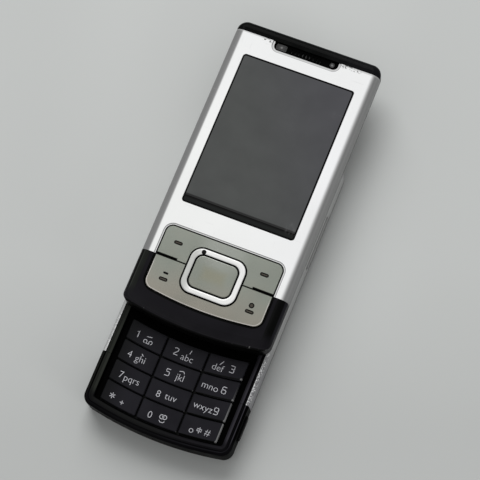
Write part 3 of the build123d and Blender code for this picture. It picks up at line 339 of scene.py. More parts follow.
def worn_silver():
    """The silver frame round the base: the same paint, rubbed and rough along its edges."""
    paint = Finish("worn_silver", Metallic=0.4, Coat_Weight=0.1, Coat_Roughness=0.3)
    top = side_high.z
    flake = paint.noise(FLAKE, 1.0)
    rub = paint.noise(2.6, 4.0, 0.7)
    # Painted shade: the wall is painted darker than the top. The paint is worn towards the edge
    # between them.
    edge = paint.step(paint.z, top - 1.6, top - 0.3)
    worn = paint.times(edge, paint.step(rub, 0.47, 0.56))
    wall = paint.step(paint.z, top - 0.9, top - 1.5)
    colour = paint.vary(grey(0.78, (0.99, 1.0, 1.0)), flake, 0.04)
    colour = paint.mix(wall, colour, grey(0.30, (1.0, 0.98, 1.04)))
    colour = paint.mix(paint.times(worn, 0.8), colour, grey(0.26))
    # The paint is whole along the inner edge only.
    out = paint.plus(paint.math("ABSOLUTE", paint.x), paint.times(rub, 0.5))
    outer = paint.times(paint.step(out, HALF_WIDTH - 0.75, HALF_WIDTH - 0.5),
                        paint.step(paint.z, top - 1.1, top - 0.8))
    beads = paint.step(paint.noise(2.4, 1.0), 0.52, 0.62)
    right = paint.mix(beads, grey(0.15, (1.0, 0.97, 1.05)), grey(0.75))
    left = paint.mix(beads, grey(0.36), grey(0.55))
    wear_and_glint = paint.mix(paint.step(paint.x, -1, 1), left, right)
    colour = paint.mix(paint.times(outer, 0.9), colour, wear_and_glint)
    # Painted shade: beside the slider, in its shadow, the edge and wall are painted a flat darker
    # grey.
    beside = paint.step(paint.y, foot_low.y - 2.0, foot_low.y + 8.0)
    colour = paint.mix(beside, colour, grey(0.42))
    paint.colour(colour)
    paint.rough(0.32, 0.55, rub)
    paint.bump((rub, 0.03), (flake, 0.004))
    return paint.material


def gloss_black():
    """Polished black end cap with faint clouds and hairlines, paler on the right."""
    gloss = Finish("gloss_black", specular=0.018)
    cloud = gloss.noise(0.35, 3.0)
    cast = gloss.step(gloss.x, 0, HALF_WIDTH)
    colour = gloss.mix(cast, grey(0.0035, (0.95, 1.03, 1.0)), grey(0.008, (0.96, 0.98, 1.1)))
    gloss.colour(gloss.vary(colour, cloud, 0.2))
    hair = gloss.step(gloss.noise(1.0, 2.0, stretch=(0.15, 4.0, 1.0), turn=0.35), 0.68, 0.73)
    gloss.rough(0.10, 0.18, cloud)
    gloss.bump((hair, -0.006))
    return gloss.material


def dark_plastic(name, level, colour_of=None):
    """Satin near-black plastic with a fine moulded grain, plain or coloured by a function."""
    plastic = Finish(name, specular=level)
    grain = plastic.noise(6.0, 2.0, 0.6)
    cloud = plastic.noise(0.12, 3.0)
    colour, layers = colour_of(plastic) if colour_of else (grey(0.0016, COOL), [])
    plastic.colour(plastic.vary(colour, cloud, 0.18))
    plastic.rough(0.28, 0.42, cloud)
    plastic.bump((grain, 0.006), *layers)
    return plastic.material


def foot_colour(foot):
    """The slider's foot: painted highlight and shade lines where its sides roll over, and chips
    along its bowed edge.
    """
    inset = foot.bowed_inset(HALF_WIDTH, foot_low.y, CORNER)
    inner = grey(0.0088, (1.0, 0.93, 1.18))
    olive = (0.98, 1.08, 0.95)
    # Painted highlights and shade of the rolled sides: paler olive bands on the left, darker
    # violet on the right.
    left = foot.bands(inset, grey(0.012), (0.45, grey(0.004)), (0.75, grey(0.0004)),
                      (1.15, grey(0.030, olive)), (1.5, grey(0.015, olive)),
                      (2.0, grey(0.012, olive)), (2.9, inner))
    right = foot.bands(inset, grey(0.012, (1.0, 0.95, 1.25)), (0.7, grey(0.0012)),
                       (2.5, grey(0.003)), (3.1, inner))
    colour = foot.mix(foot.step(foot.x, -6, 6), left, right)
    # The lines run out towards the bowed end.
    height = foot.bow_distance(foot_low.y)
    run_out = foot.times(foot.step(height, 6.0, 2.2), 0.9)
    colour = foot.mix(run_out, colour, inner)
    # Round the function keys the foot is painted black, as painted shade of the gap.
    in_panel = foot.bowed_inset(soft_high.x, call_low.y, PANEL_FOOT_CORNER)
    colour = foot.mix(foot.step(in_panel, -0.85, -0.7), colour, grey(0.0))
    # The bowed edge is rolled: a painted highlight along the roll and painted shade below it, and
    # chips along the edge.
    roll_highlight = foot.near(height, 0.75, 0.04, 0.10)
    colour = foot.mix(foot.times(roll_highlight, 0.3), colour, grey(0.02))
    colour = foot.mix(foot.step(height, 0.7, 0.3), colour, grey(0.002))
    edge = foot.near(height, 0.55, 0.22, 0.2)
    spots = foot.step(foot.noise(0.9, 4.0, 0.7), 0.64, 0.68)
    chipped = foot.times(edge, spots)
    colour = foot.mix(foot.times(chipped, 0.9), colour, grey(0.22))
    return colour, [(chipped, -0.05)]


def rim_colour(rim):
    """The base's deck: fine dark lines run round the rim, with painted light and shade on its
    inner slope.
    """
    inset = rim.bowed_inset(HALF_WIDTH, base_low.y, CORNER)
    line = grey(0.0006)
    olive = (1.0, 1.08, 0.92)
    # Painted light and shade: the left slope is paler olive; the right has a painted highlight
    # line and violet bands.
    left = rim.bands(inset, line, (0.35, grey(0.010, olive)), (0.9, line),
                     (1.25, grey(0.019, olive)), (2.0, grey(0.030, olive)), (2.7, line),
                     (3.4, grey(0.0035, olive)), (4.2, grey(0.0055)))
    violet = (1.0, 0.95, 1.15)
    right = rim.bands(inset, line, (0.75, grey(0.050, violet)), (0.95, grey(0.004, violet)),
                      (1.6, line), (1.9, grey(0.036, violet)), (2.5, grey(0.020, violet)),
                      (3.1, line))
    colour = rim.mix(rim.step(rim.x, -4, 12), left, right)
    # They run out towards the bowed end too.
    end = rim.step(rim.bow_distance(base_low.y), 6.0, 2.6)
    colour = rim.mix(rim.times(end, 0.8), colour, grey(0.005, violet))
    # Below the rim the walls are painted black, as painted shade.
    wall = rim.step(rim.z, base_high.z - 0.6, base_high.z - 0.9)
    return rim.mix(wall, colour, grey(0.0008)), []


def rear_plastic():
    """The rear covers: soft-touch black with a fine grain and a few rubbed spots."""
    rear = Finish("rear_plastic", specular=0.02)
    pebble = rear.cells(3.2)
    cloud = rear.noise(0.08, 3.0)
    rub = rear.step(rear.noise(0.5, 4.0, 0.6), 0.60, 0.75)
    colour = rear.vary(grey(0.016, COOL), cloud, 0.25)
    colour = rear.mix(rear.times(rub, 0.3), colour, grey(0.04))
    # Painted shade: the outer walls are painted darker than the back.
    rear.colour(rear.mix(rear.step(rear.z, 1.5, 2.5), colour, grey(0.003)))
    rear.rough(0.42, 0.6, cloud)
    rear.bump((pebble, 0.02))
    return rear.material


# ---- display
DISPLAY_BORDER = 0.42       # width of the black print round the display
DISPLAY_CORNER = 0.6
MASK_HEIGHT = 2.7           # of the dark mask, from the window's lower edge


def display_glass():
    """The display behind its window: a grey panel in a black print, with a dark mask below."""
    glass = Finish("display_glass", specular=0.1)
    smudge = glass.noise(0.12, 3.0, 0.55)
    # Painted reflection: the panel is bluer towards the upper right.
    cast = glass.step(glass.plus(glass.x, glass.times(glass.y, 0.6)), 5, 50)
    panel = glass.mix(cast, grey(0.092, (0.98, 1.02, 1.0)), grey(0.087, (0.98, 0.98, 1.08)))
    panel = glass.vary(panel, smudge, 0.07)
    # The mask is in strips, by height above the window's lower edge.
    height = glass.minus(glass.y, window_low.y)
    mask = glass.bands(height, grey(0.001), (0.5, grey(0.0145, (0.96, 1.06, 1.02))),
                       (1.55, grey(0.009)), (1.9, grey(0.003)), (2.2, grey(0.029)))
    panel = glass.mix(glass.times(glass.step(height, 4.5, 2.9), 0.08), panel, mask)
    colour = glass.mix(glass.step(height, MASK_HEIGHT, MASK_HEIGHT + 0.25), mask, panel)
    # Pale wisps in the lower right corner.
    wisps = glass.noise(1.0, 3.0, 0.6, stretch=(1.2, 0.5, 1.0), turn=0.7)
    corner = glass.step(glass.round_distance((window_high.x - 2.0, window_low.y + 3.3)), 2.6, 0.4)
    colour = glass.mix(glass.times(corner, glass.step(wisps, 0.45, 0.75), 0.35), colour, grey(0.2))
    inner = (window_size.x - 2 * DISPLAY_BORDER, window_size.y - 2 * DISPLAY_BORDER)
    out = glass.box_distance(window_centre.xy, inner, DISPLAY_CORNER)
    colour = glass.mix(glass.step(out, -0.04, 0.04), colour, grey(0.001))
    dust = glass.step(glass.noise(1.6, 3.0, 0.7), 0.735, 0.76)
    colour = glass.mix(glass.times(dust, 0.5), colour, grey(0.16))
    glass.colour(colour)
    glass.rough(0.05, 0.12, smudge)
    hair = glass.step(glass.noise(1.0, 2.0, stretch=(0.1, 4.2, 1.0), turn=0.9), 0.71, 0.74)
    glass.bump((hair, -0.004))
    return glass.material


def display_back():
    """The display module: a steel frame round dark glass."""
    back = Finish("display_back")
    out = back.box_distance(window_centre.xy, (window_size.x - 1.0, window_size.y - 1.0), 0.4)
    frame_part = back.step(out, 0.0, 0.2)
    cloud = back.noise(0.3, 2.0)
    back.colour(back.mix(frame_part, grey(0.03), grey(0.42)))
    back.feed(back.shader.inputs["Metallic"], frame_part)
    back.rough(0.15, 0.3, cloud)
    return back.material


# ---- keys
RING_CHIPS = (              # place and radius of two chips that run together
    ((ring_low.x + 3.4, ring_high.y - 1.2), 0.75),
    ((ring_low.x + 3.6, ring_high.y - 2.0), 0.5),
)


def key_metal():
    """The function keys: satin metal with a fine blasted grain, warmer towards the foot."""
    metal = Finish("key_metal", Metallic=0.8)
    blast = metal.noise(11.0, 2.0, 0.6)
    cloud = metal.noise(0.07, 2.0)
    lower = metal.step(metal.y, call_high.y + 1.0, call_low.y + 1.0)
    warm = metal.plus(lower, metal.noise(0.13, 2.0), -0.5)
    colour = metal.mix(warm, grey(0.216, (0.98, 1.04, 0.91)), grey(0.220, (1.06, 1.0, 0.86)))
    # Painted highlight: a paler patch below the panel's upper edge.
    painted_highlight = metal.step(metal.round_distance((0, soft_high.y - 2.0)), 9.5, 2.5)
    colour = metal.mix(painted_highlight, colour, grey(0.275, (0.99, 1.03, 0.94)))
    colour = metal.vary(colour, cloud, 0.05)
    colour = metal.vary(colour, blast, 0.06)
    # Painted highlight: a fine light line inside the panel's foot edge, where its bevel catches
    # the light.
    inset = metal.bowed_inset(soft_high.x, call_low.y, PANEL_FOOT_CORNER)
    line = metal.near(inset, 0.2, 0.08, 0.08)
    foot = metal.times(line, metal.step(metal.y, call_high.y, call_high.y - 3))
    colour = metal.mix(metal.times(foot, 0.5), colour, grey(0.6, (1.05, 0.98, 0.95)))
    # The select key is yellower in its middle.
    select_size = select_high - select_low
    from_select = metal.box_distance(ring_centre.xy, select_size.xy, SELECT_CORNER)
    middle = metal.step(from_select, -1.6, -4.6)
    colour = metal.mix(middle, colour, grey(0.213, (1.03, 1.02, 0.80)))
    # Painted shade: the walls are painted dark, also those of the select key, which stands higher,
    # and so are the seams.
    raised = metal.times(metal.step(from_select, 1.0, 0.5), select_high.z - FACE_Z)
    level = metal.minus(metal.z, raised)
    wall = metal.step(level, FACE_Z - 0.07, FACE_Z - 0.12)
    from_ring = metal.box_distance(ring_centre.xy, ring_size.xy, RING_CORNER)
    seam_shade = metal.most(metal.near(from_ring, 0.15, 0.15, 0.06),
                       metal.near(from_select, 0.0, 0.03, 0.05))
    metal.colour(metal.mix(metal.most(wall, seam_shade), colour, grey(0.003)))
    metal.rough(0.36, 0.46, cloud)
    metal.bump((blast, 0.005))
    return metal.material


def ring_chrome():
    """The four-way ring: bright, brushed along its run, with painted shade on the left, and
    chipped there.
    """
    chrome = Finish("ring_chrome", Metallic=0.1, specular=0.12)
    across = chrome.box_distance(ring_centre.xy, ring_size.xy, RING_CORNER)
    along = [chrome.times(value, 0.03) for value in (chrome.x, chrome.y)]
    run = chrome.node("CombineXYZ", across, *along)
    brush = chrome.node("TexNoise", named={"Vector": run, "Scale": 3.4, "Detail": 3.0})
    cloud = chrome.noise(0.12, 2.0)
    colour = chrome.vary(grey(0.94, (1.0, 1.0, 0.985)), brush, 0.09)
    # Painted shade: the left side is greyer.
    left = chrome.step(chrome.x, ring_low.x + 4.0, ring_low.x + 1.0)
    colour = chrome.mix(chrome.times(left, 0.6), colour, grey(0.42, (0.99, 1.02, 0.95)))
    chips = [chrome.step(chrome.round_distance(place), radius, radius - 0.1)
             for place, radius in RING_CHIPS]
    chip = chrome.most(*chips)
    # The chips are near black, and the walls are painted near black as painted shade.
    wall = chrome.step(chrome.z, FACE_Z + 0.28, FACE_Z + 0.2)
    chip_and_wall_shade = chrome.most(chip, wall)
    chrome.colour(chrome.mix(chip_and_wall_shade, colour, grey(0.001)))
    chrome.rough(0.24, 0.34, cloud)
    chrome.bump((brush, 0.006), (chip, -0.1))
    return chrome.material


def keycap():
    """The number keys: speckled dark plastic, with painted shade on the left and painted glints on
    the right.
    """
    cap = Finish("keycap", specular=0.08)
    speckle = cap.noise(7.0, 2.0, 0.6)
    cloud = cap.noise(0.15, 2.0)
    colour = cap.vary(grey(0.0116, (1.0, 0.95, 1.26)), cloud, 0.12)
    # Painted shade: the keys on the left are darker.
    left_shade = cap.step(cap.x, -11, -19)
    colour = cap.mix(left_shade, colour, grey(0.0054, (0.98, 1.0, 1.14)))
    colour = cap.vary(colour, speckle, 0.12)
    # How far a point is above the lower edge of its key.
    pitch = eight_low.y - zero_low.y
    rows_up = cap.math("DIVIDE", cap.plus(cap.bow_distance(zero_low.y), 0.05), pitch)
    height = cap.times(cap.math("FRACT", rows_up), pitch)
    # A painted shadow: a black line along that edge, wider on the right.
    lift = cap.times(cap.step(cap.x, 5.5, 9.0), 0.3)
    shade = cap.step(cap.minus(height, lift), 0.12, 0.0)
    colour = cap.mix(shade, colour, grey(0.001))
    # Painted glints: light lines along the outer right edges and light spots at the lower corners,
    # where light from the right catches the keys.
    side = six_high.x
    edge = cap.step(cap.x, side - 0.46, side - 0.30)
    lower_rows = cap.step(cap.y, six_high.y, six_low.y - pitch)
    corner_glint = cap.times(cap.step(height, 0.7, 0.3), cap.step(cap.x, side - 0.7, side - 0.4))
    wear_and_glint = cap.most(cap.times(edge, lower_rows), corner_glint)
    inner_corner_glint = cap.times(cap.near(cap.x, 6.2, 0.15, 0.1), cap.step(height, 0.4, 0.2), 0.35)
    colour = cap.mix(cap.most(wear_and_glint, inner_corner_glint), colour, grey(0.21))
    cap.colour(colour)
    cap.rough(0.30, 0.44, cloud)
    cap.bump((speckle, 0.006))
    return cap.material


def ink(name, tone, tint):
    """A printed mark: slightly uneven ink."""
    mark = Finish(name, specular=0.08)
    patch = mark.noise(3.0, 3.0, 0.6)
    mark.colour(mark.vary(grey(tone, tint), patch, 0.15))
    mark.rough(0.5, 0.7, patch)
    return mark.material


# ---- metals, boards and soft parts
def brushed(name, tone, tint=PLAIN, along=(0.4, 9.0, 9.0)):
    """Rolled sheet metal with a faint grain."""
    metal = Finish(name, Metallic=1.0)
    grain = metal.noise(1.0, 3.0, stretch=along)
    cloud = metal.noise(0.2, 2.0)
    metal.colour(metal.vary(metal.vary(grey(tone, tint), grain, 0.08), cloud, 0.08))
    metal.rough(0.24, 0.42, grain)
    metal.bump((grain, 0.006))
    return metal.material


def circuit_board():
    """Green solder mask over faint tracks and small plated holes."""
    board = Finish("circuit_board")
    tracks = board.node("TexBrick", named={
        "Vector": board.point, "Scale": 0.45, "Mortar Size": 0.035, "Mortar Smooth": 0.3,
        "Color1": grey(0.0), "Color2": grey(0.1), "Mortar": grey(1.0),
    })
    mask = board.node("SeparateColor", tracks)
    holes = board.step(board.cells(0.8), 0.16, 0.12)
    cloud = board.noise(0.3, 2.0)
    colour = board.vary((0.018, 0.12, 0.055, 1.0), cloud, 0.2)
    colour = board.mix(board.times(mask, 0.6), colour, (0.05, 0.24, 0.10, 1.0))
    board.colour(board.mix(holes, colour, (0.70, 0.52, 0.22, 1.0)))
    board.feed(board.shader.inputs["Metallic"], holes)
    board.rough(0.3, 0.45, cloud)
    board.bump((mask, 0.02))
    return board.material


def rubber():
    """Black silicone."""
    mat = Finish("rubber", specular=0.15)
    cloud = mat.noise(0.6, 3.0)
    mat.colour(mat.vary(grey(0.006), cloud, 0.15))
    mat.rough(0.55, 0.7, cloud)
    mat.bump((mat.noise(6.0, 2.0), 0.01))
    return mat.material


def ribbon_film():
    """Amber polyimide film over copper tracks that run along it."""
    film = Finish("ribbon_film")
    track = film.step(film.waves(film.x, 0.6), 0.1, 0.4)
    cloud = film.noise(0.5, 2.0)
    colour = film.mix(track, (0.42, 0.17, 0.03, 1.0), (0.62, 0.30, 0.10, 1.0))
    film.colour(film.vary(colour, cloud, 0.08))
    film.rough(0.22, 0.35, cloud)
    film.bump((track, 0.01))
    return film.material


THREAD = 0.22               # pitch of the acoustic cloth


def grille_cloth():
    """Fine woven acoustic cloth."""
    cloth = Finish("grille_cloth", specular=0.02)
    weave = cloth.times(cloth.waves(cloth.x, THREAD), cloth.waves(cloth.y, THREAD))
    cloth.colour(cloth.mix(cloth.step(weave, -0.5, 0.5), grey(0.0006), grey(0.002)))
    cloth.rough(0.6, 0.8, cloth.noise(1.0))
    cloth.bump((weave, 0.03))
    return cloth.material


def battery_wrap():
    """The battery: pale grey wrap with a plain printed frame and a dark end."""
    wrap = Finish("battery_wrap", specular=0.4)
    centre = (battery_low + battery_high) / 2
    size = battery_high - battery_low
    cloud = wrap.noise(0.2, 3.0)
    colour = wrap.vary(grey(0.52, (0.98, 1.0, 1.03)), cloud, 0.05)
    out = wrap.box_distance(centre.xy, (size.x - 6, size.y - 10), 1.5)
    colour = wrap.mix(wrap.near(out, 0.0, 0.2, 0.06), colour, grey(0.10))
    end = wrap.step(wrap.y, battery_high.y - 3.1, battery_high.y - 2.9)
    wrap.colour(wrap.mix(end, colour, grey(0.02)))
    wrap.rough(0.32, 0.46, cloud)
    wrap.bump((wrap.noise(2.0, 3.0), 0.01))
    return wrap.material


def lens_glass():
    """Dark coated glass, violet where it is thick."""
    glass = Finish("lens_glass", specular=0.7, Coat_Weight=0.6, Coat_Roughness=0.03)
    out = glass.round_distance(eye_centre.xy)
    coat = glass.step(out, 2.4, 0.4)
    glass.colour(glass.mix(coat, grey(0.006), (0.020, 0.012, 0.045, 1.0)))
    glass.rough(0.03, 0.06, glass.noise(0.8))
    return glass.material


def sensor(name, low, high, body):
    """A small sensor: a painted highlight, a bright dot with a soft halo, on a dark body."""
    eye = Finish(name, specular=0.2)
    out = eye.round_distance(((low.x + high.x) / 2, (low.y + high.y) / 2))
    cloud = eye.noise(2.0, 2.0)
    # Painted highlight: a soft halo and a bright dot in the middle.
    colour = eye.mix(eye.times(eye.step(out, 1.5, 0.3), 0.7), grey(body), grey(body * 3))
    colour = eye.mix(eye.step(out, 0.45, 0.12), colour, grey(0.20))
    eye.colour(eye.vary(colour, cloud, 0.15))
    eye.rough(0.12, 0.3, cloud)
    return eye.material


def phosphor():
    """The two flash lamps: yellow phosphor under a clear dome with fine rings."""
    lamp = Finish("phosphor", specular=0.6, Coat_Weight=0.8, Coat_Roughness=0.05)
    middle = (flash_low + flash_high) / 2
    reach = (flash_high - flash_low) / 2
    # Distance from the middle of the nearer lamp.
    dy = lamp.minus(lamp.apart(lamp.y, middle.y), reach.y - reach.x)
    out = lamp.length(lamp.minus(lamp.x, middle.x), dy)
    lit = lamp.step(out, 0.75, 0.6)
    lamp.colour(lamp.mix(lit, grey(0.55), (0.80, 0.62, 0.12, 1.0)))
    lamp.rough(0.1, 0.2, lamp.noise(1.0))
    lamp.bump((lamp.waves(out, 0.2), 0.02))
    return lamp.material


def moulding(name, tone):
    """Plain moulded inner plastic with a spark-eroded grain."""
    plastic = Finish(name, specular=0.4)
    grain = plastic.noise(4.0, 3.0, 0.6)
    cloud = plastic.noise(0.15, 2.0)
    plastic.colour(plastic.vary(grey(tone, COOL), cloud, 0.12))
    plastic.rough(0.4, 0.6, cloud)
    plastic.bump((grain, 0.012))
    return plastic.material


steel = brushed("rolled_steel", 0.58, (0.99, 1.0, 1.01))
gold = brushed("gold_plate", 0.75, (1.0, 0.74, 0.36))
legend_ink = ink("legend_ink", 0.54, (0.98, 0.98, 1.04))
mark_ink = ink("mark_ink", 0.0015, (1.1, 1.0, 0.85))
mark_inlay = ink("mark_inlay", 0.062, (1.14, 1.0, 0.82))
lens = lens_glass()
well_black = dark_plastic("well_black", 0.03)

finishes = {
    "silver_cover": silver_paint(),
    "black_gloss": gloss_black(),
    "dark_cover": well_black,
    "rear_dark": rear_plastic(),
    "window": display_glass(),
    "display": display_back(),
    "key_plate": key_metal(),
    "chrome": ring_chrome(),
    "number_key": keycap(),
    "mesh": grille_cloth(),
    "steel": steel,
    "chassis": moulding("chassis_plastic", 0.035),
    "board": circuit_board(),
    "rubber_mat": rubber(),
    "dome_sheet": brushed("dome_steel", 0.66, (0.98, 0.99, 1.02), along=(3.0, 3.0, 3.0)),
    "ribbon": ribbon_film(),
    "battery": battery_wrap(),
    "lens": lens,
    "led": phosphor(),
    "device": moulding("inner_black", 0.02),
}
special = {
    "side_frame": worn_silver(),
    "lower_cover": dark_plastic("foot_black", 0.045, foot_colour),
    "base_lower_cover": dark_plastic("rim_black", 0.006, rim_colour),
    "keypad_housing": dark_plastic("deck_black", 0.006, rim_colour),
    "camera_key": well_black,
    "front_camera": sensor("front_camera_lens", block_low, block_high, 0.022),
    "light_sensor": sensor("light_sensor_lens", sensor_low, sensor_high, 0.02),
}
for name, node in nodes.items():
    finish = special.get(name) or finishes[node.material_slots[0].material.name]
    node.material_slots[0].material = finish


# ---- shapes of the small pieces
def add_object(name, data):
    """Put a mesh, text, lamp or camera in the scene."""
    item = bpy.data.objects.new(name, data)
    bpy.context.scene.collection.objects.link(item)
    return item


def add_piece(name, mesh, body, finish):
    """Put a finished mesh in the scene, in the model's frame, on a body."""
    mesh.materials.append(finish)
    piece = add_object(name, mesh)
    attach(piece, body)
    return piece


def join_rings(form, first, second):
    """Faces from each point of one ring to those of the next."""
    for index in range(len(first)):
        after = (index + 1) % len(first)
        form.faces.new((first[index], first[after], second[after], second[index]))


def finished(name, form):
    """The mesh of a finished form."""
    mesh = bpy.data.meshes.new(name)
    form.to_mesh(mesh)
    form.free()
    return mesh


def prisms(name, outlines, low, high):
    """A mesh of closed slabs, one over each outline, between two levels."""
    form = bmesh.new()
    for outline in outlines:
        foot = [form.verts.new(Vector((x, y, low)) * MM) for x, y in outline]
        head = [form.verts.new(Vector((x, y, high)) * MM) for x, y in outline]
        form.faces.new(foot[::-1])
        form.faces.new(head)
        join_rings(form, foot, head)
    return finished(name, form)


def arc(centre, radius, start, end, steps):
    """Points along an arc, angles in degrees."""
    angles = [radians(start + (end - start) * index / steps) for index in range(steps + 1)]
    return [(centre[0] + radius * cos(a), centre[1] + radius * sin(a)) for a in angles]


MERGE = 1e-4                # points closer than this become one
SHARP = radians(35)         # edges of turned pieces bent more than this stay sharp


def lathe(name, profile, centre, segments=96):
    """A closed ring or disc: a profile of (radius, z) turned about an upright line."""
    form = bmesh.new()
    rings = []
    for radius, level in profile:
        circle = arc(centre, radius, 0, 360, segments)[:-1]
        rings.append([form.verts.new(Vector((x, y, level)) * MM) for x, y in circle])
    for ring, following in zip(rings, rings[1:] + rings[:1]):
        join_rings(form, ring, following)
    bmesh.ops.remove_doubles(form, verts=form.verts, dist=MERGE * MM)
    bmesh.ops.recalc_face_normals(form, faces=form.faces)
    for face in form.faces:
        face.smooth = True
    mesh = finished(name, form)
    mesh.set_sharp_from_angle(angle=SHARP)
    return mesh


def pill(centre, size, corner, steps=6):
    """Outline of a rounded rectangle."""
    half_x = size[0] / 2 - corner
    half_y = size[1] / 2 - corner
    points = []
    for quarter, (side_x, side_y) in enumerate(((1, 1), (-1, 1), (-1, -1), (1, -1))):
        middle = (centre[0] + side_x * half_x, centre[1] + side_y * half_y)
        points += arc(middle, corner, 90 * quarter, 90 * quarter + 90, steps)
    return points


TIP_STEPS = 5               # of the half circle at each end of a stroke


def stroke(points, width):
    """Outline of a pen stroke along a line, with round ends."""
    path = [Vector(point) for point in points]
    sides = ([], [])
    for index, point in enumerate(path):
        before = path[max(index - 1, 0)]
        after = path[min(index + 1, len(path) - 1)]
        across = (after - before).normalized().orthogonal() * width / 2
        sides[0].append(point + across)
        sides[1].append(point - across)
    outline = []
    for side, tip in ((sides[0], path[-1]), (sides[1][::-1], path[0])):
        outline += side
        first = side[-1] - tip
        for count in range(1, TIP_STEPS):
            outline.append(tip + Matrix.Rotation(-pi * count / TIP_STEPS, 2) @ first)
    return [tuple(point) for point in outline]


# ---- number key legends
INK_THICK = 0.02
STROKE = 0.22               # width of a drawn line
FONT_THIN = 0.012           # taken off the built-in font's strokes, as a share of its size


def worked_out(holder):
    """A text object with its outlines worked out."""
    bpy.context.view_layer.update()
    return holder.evaluated_get(bpy.context.evaluated_depsgraph_get())


def text_mesh(name, text, size, centre, level):
    """Text as a thin closed mesh; its size is the height of one measured character."""
    height, measured_by = size
    curve = bpy.data.curves.new(name, "FONT")
    holder = add_object(name + "_text", curve)
    sizes = {}
    for words in (measured_by, text):
        curve.body = words
        flat = worked_out(holder).to_mesh()
        sizes[words] = [(v.co.x, v.co.y) for v in flat.vertices]
    columns = [x for x, y in sizes[text]]
    rows = [y for x, y in sizes[measured_by]]
    scale = height / (max(rows) - min(rows))
    middle_x = (max(columns) + min(columns)) / 2
    middle_y = (max(rows) + min(rows)) / 2
    curve.align_x = "LEFT"
    curve.resolution_u = 4
    curve.extrude = INK_THICK / 2 / scale
    curve.offset = -FONT_THIN
    mesh = bpy.data.meshes.new_from_object(worked_out(holder))
    bpy.data.objects.remove(holder)
    lift = level + INK_THICK / 2
    shift = Vector((centre[0] - middle_x * scale, centre[1] - middle_y * scale, lift))
    mesh.transform(Matrix.Translation(shift * MM) @ Matrix.Scale(scale * MM, 4))
    mesh.materials.clear()
    mesh.name = name
    return mesh


DIGIT = (2.05, "8")         # height of this character
LETTER = (1.30, "x")
# What is printed on each key: (text, its size, offset from the key's middle).
legends = {
    "1": (),
    "2": (("abc", LETTER, (0.95, -1.2)),),
    "3": (("def", LETTER, (-2.1, -1.3)),),
    "4": (("4", DIGIT, (-2.65, 0.0)), ("ghi", LETTER, (0.85, -0.8))),
    "5": (("jkl", LETTER, (1.2, -0.85)),),
    "6": (("mno", LETTER, (-2.1, -0.85)),),
    "7": (("7", DIGIT, (-2.55, -0.15)), ("pqrs", LETTER, (0.95, -0.9))),
    "8": (("8", DIGIT, (-2.8, -0.7)), ("tuv", LETTER, (1.05, -0.8))),
    "9": (("wxyz", LETTER, (-1.75, -0.75)),),
    "star": (),
    "0": (("0", DIGIT, (-2.75, -0.8)),),
    "hash": (("#", DIGIT, (2.3, -0.4)), ("o", LETTER, (-2.4, -1.6))),
}
# Square digits, each from strokes about its own middle, then where they stand on their key.
SIX = (
    [(0.5, 1.0), (-0.35, 1.0), (-0.6, 0.75), (-0.6, -0.75), (-0.35, -1.0), (0.0, -1.0)],
    [(0.0, -1.0), (0.35, -1.0), (0.6, -0.75), (0.6, -0.1), (0.35, 0.12), (-0.55, 0.12)],
)
NINE = [[(-x, -y) for x, y in line] for line in SIX]
square_digits = {
    "2": ([[(-0.6, 0.85), (-0.35, 1.0), (0.35, 1.0), (0.6, 0.75), (0.55, 0.3), (-0.6, -0.95)],
           [(-0.6, -1.0), (0.65, -1.0)]], (-2.8, -0.1)),
    "3": ([[(-0.6, 1.0), (0.6, 1.0), (0.6, 0.25), (0.35, 0.05), (-0.25, 0.05)],
           [(0.4, 0.02), (0.62, -0.25), (0.62, -0.8), (0.4, -1.0), (-0.6, -1.0)]], (2.0, 0.0)),
    "5": ([[(0.58, 1.0), (-0.48, 1.0), (-0.52, 0.22)],
           [(-0.52, 0.2), (0.35, 0.2), (0.6, -0.05), (0.6, -0.8), (0.35, -1.0), (-0.6, -1.0)]],
          (-2.75, -0.3)),
    "6": (SIX, (2.1, -0.15)),
    "9": (NINE, (2.25, -0.25)),
}
# Signs drawn with a pen, as offsets from the key's middle.
pen_marks = {
    "1": [[(-3.0, 0.55), (-2.55, 0.95), (-2.55, -0.95)], [(0.2, 0.1), (1.6, 0.3)],
          arc((0.1, -1.35), 0.5, 0, 350, 18), arc((1.75, -1.35), 0.5, 0, 350, 18),
          [(0.1, -1.85), (1.75, -1.85)]],
    "star": [[(-2.6, 0.4), (-2.6, -1.2)], [(-3.3, 0.0), (-1.9, -0.8)], [(-3.3, -0.8), (-1.9, 0.0)],
             [(0.3, -1.4), (1.3, -1.4)], [(0.8, -0.9), (0.8, -1.9)]],
    "2": [[(1.25, 0.6), (1.5, 1.6)]],
    "3": [[(-1.9, 0.1), (-1.2, 1.25)]],
    "4": [[(0.8, 1.15), (1.3, 0.7)]],
    "5": [[(0.5, 1.25), (1.3, 1.45), (1.85, 1.35), (2.0, 0.95)]],
    "0": [arc((0.75, -0.2), 0.62, 20, 375, 22), arc((1.6, -0.1), 0.62, 200, 555, 22),
          [(0.4, -1.45), (0.8, -1.8), (1.6, -1.75), (1.95, -1.35)]],
    "hash": [[(-0.85, -0.35), (0.45, -0.35), (0.45, -1.0), (-0.85, -1.0), (-0.85, -0.4)],
             [(-0.2, 0.05), (-0.2, -1.5)]],
}
for key, words in legends.items():
    key_low, key_high = span("key_" + key)
    middle = (key_low + key_high) / 2
    for index, (text, size, offset) in enumerate(words):
        centre = (middle.x + offset[0], middle.y + offset[1])
        name = f"key_{key}_legend_{index}"
        mesh = text_mesh(name, text, size, centre, key_high.z)
        add_piece(name, mesh, "key_" + key, legend_ink)
    strokes = list(pen_marks.get(key, []))
    if key in square_digits:
        lines, place = square_digits[key]
        strokes += [[(x + place[0], y + place[1]) for x, y in line] for line in lines]
    for index, points in enumerate(strokes):
        placed = [(middle.x + x, middle.y + y) for x, y in points]
        name = f"key_{key}_mark_{index}"
        mesh = prisms(name, [stroke(placed, STROKE)], key_high.z, key_high.z + INK_THICK)
        add_piece(name, mesh, "key_" + key, legend_ink)

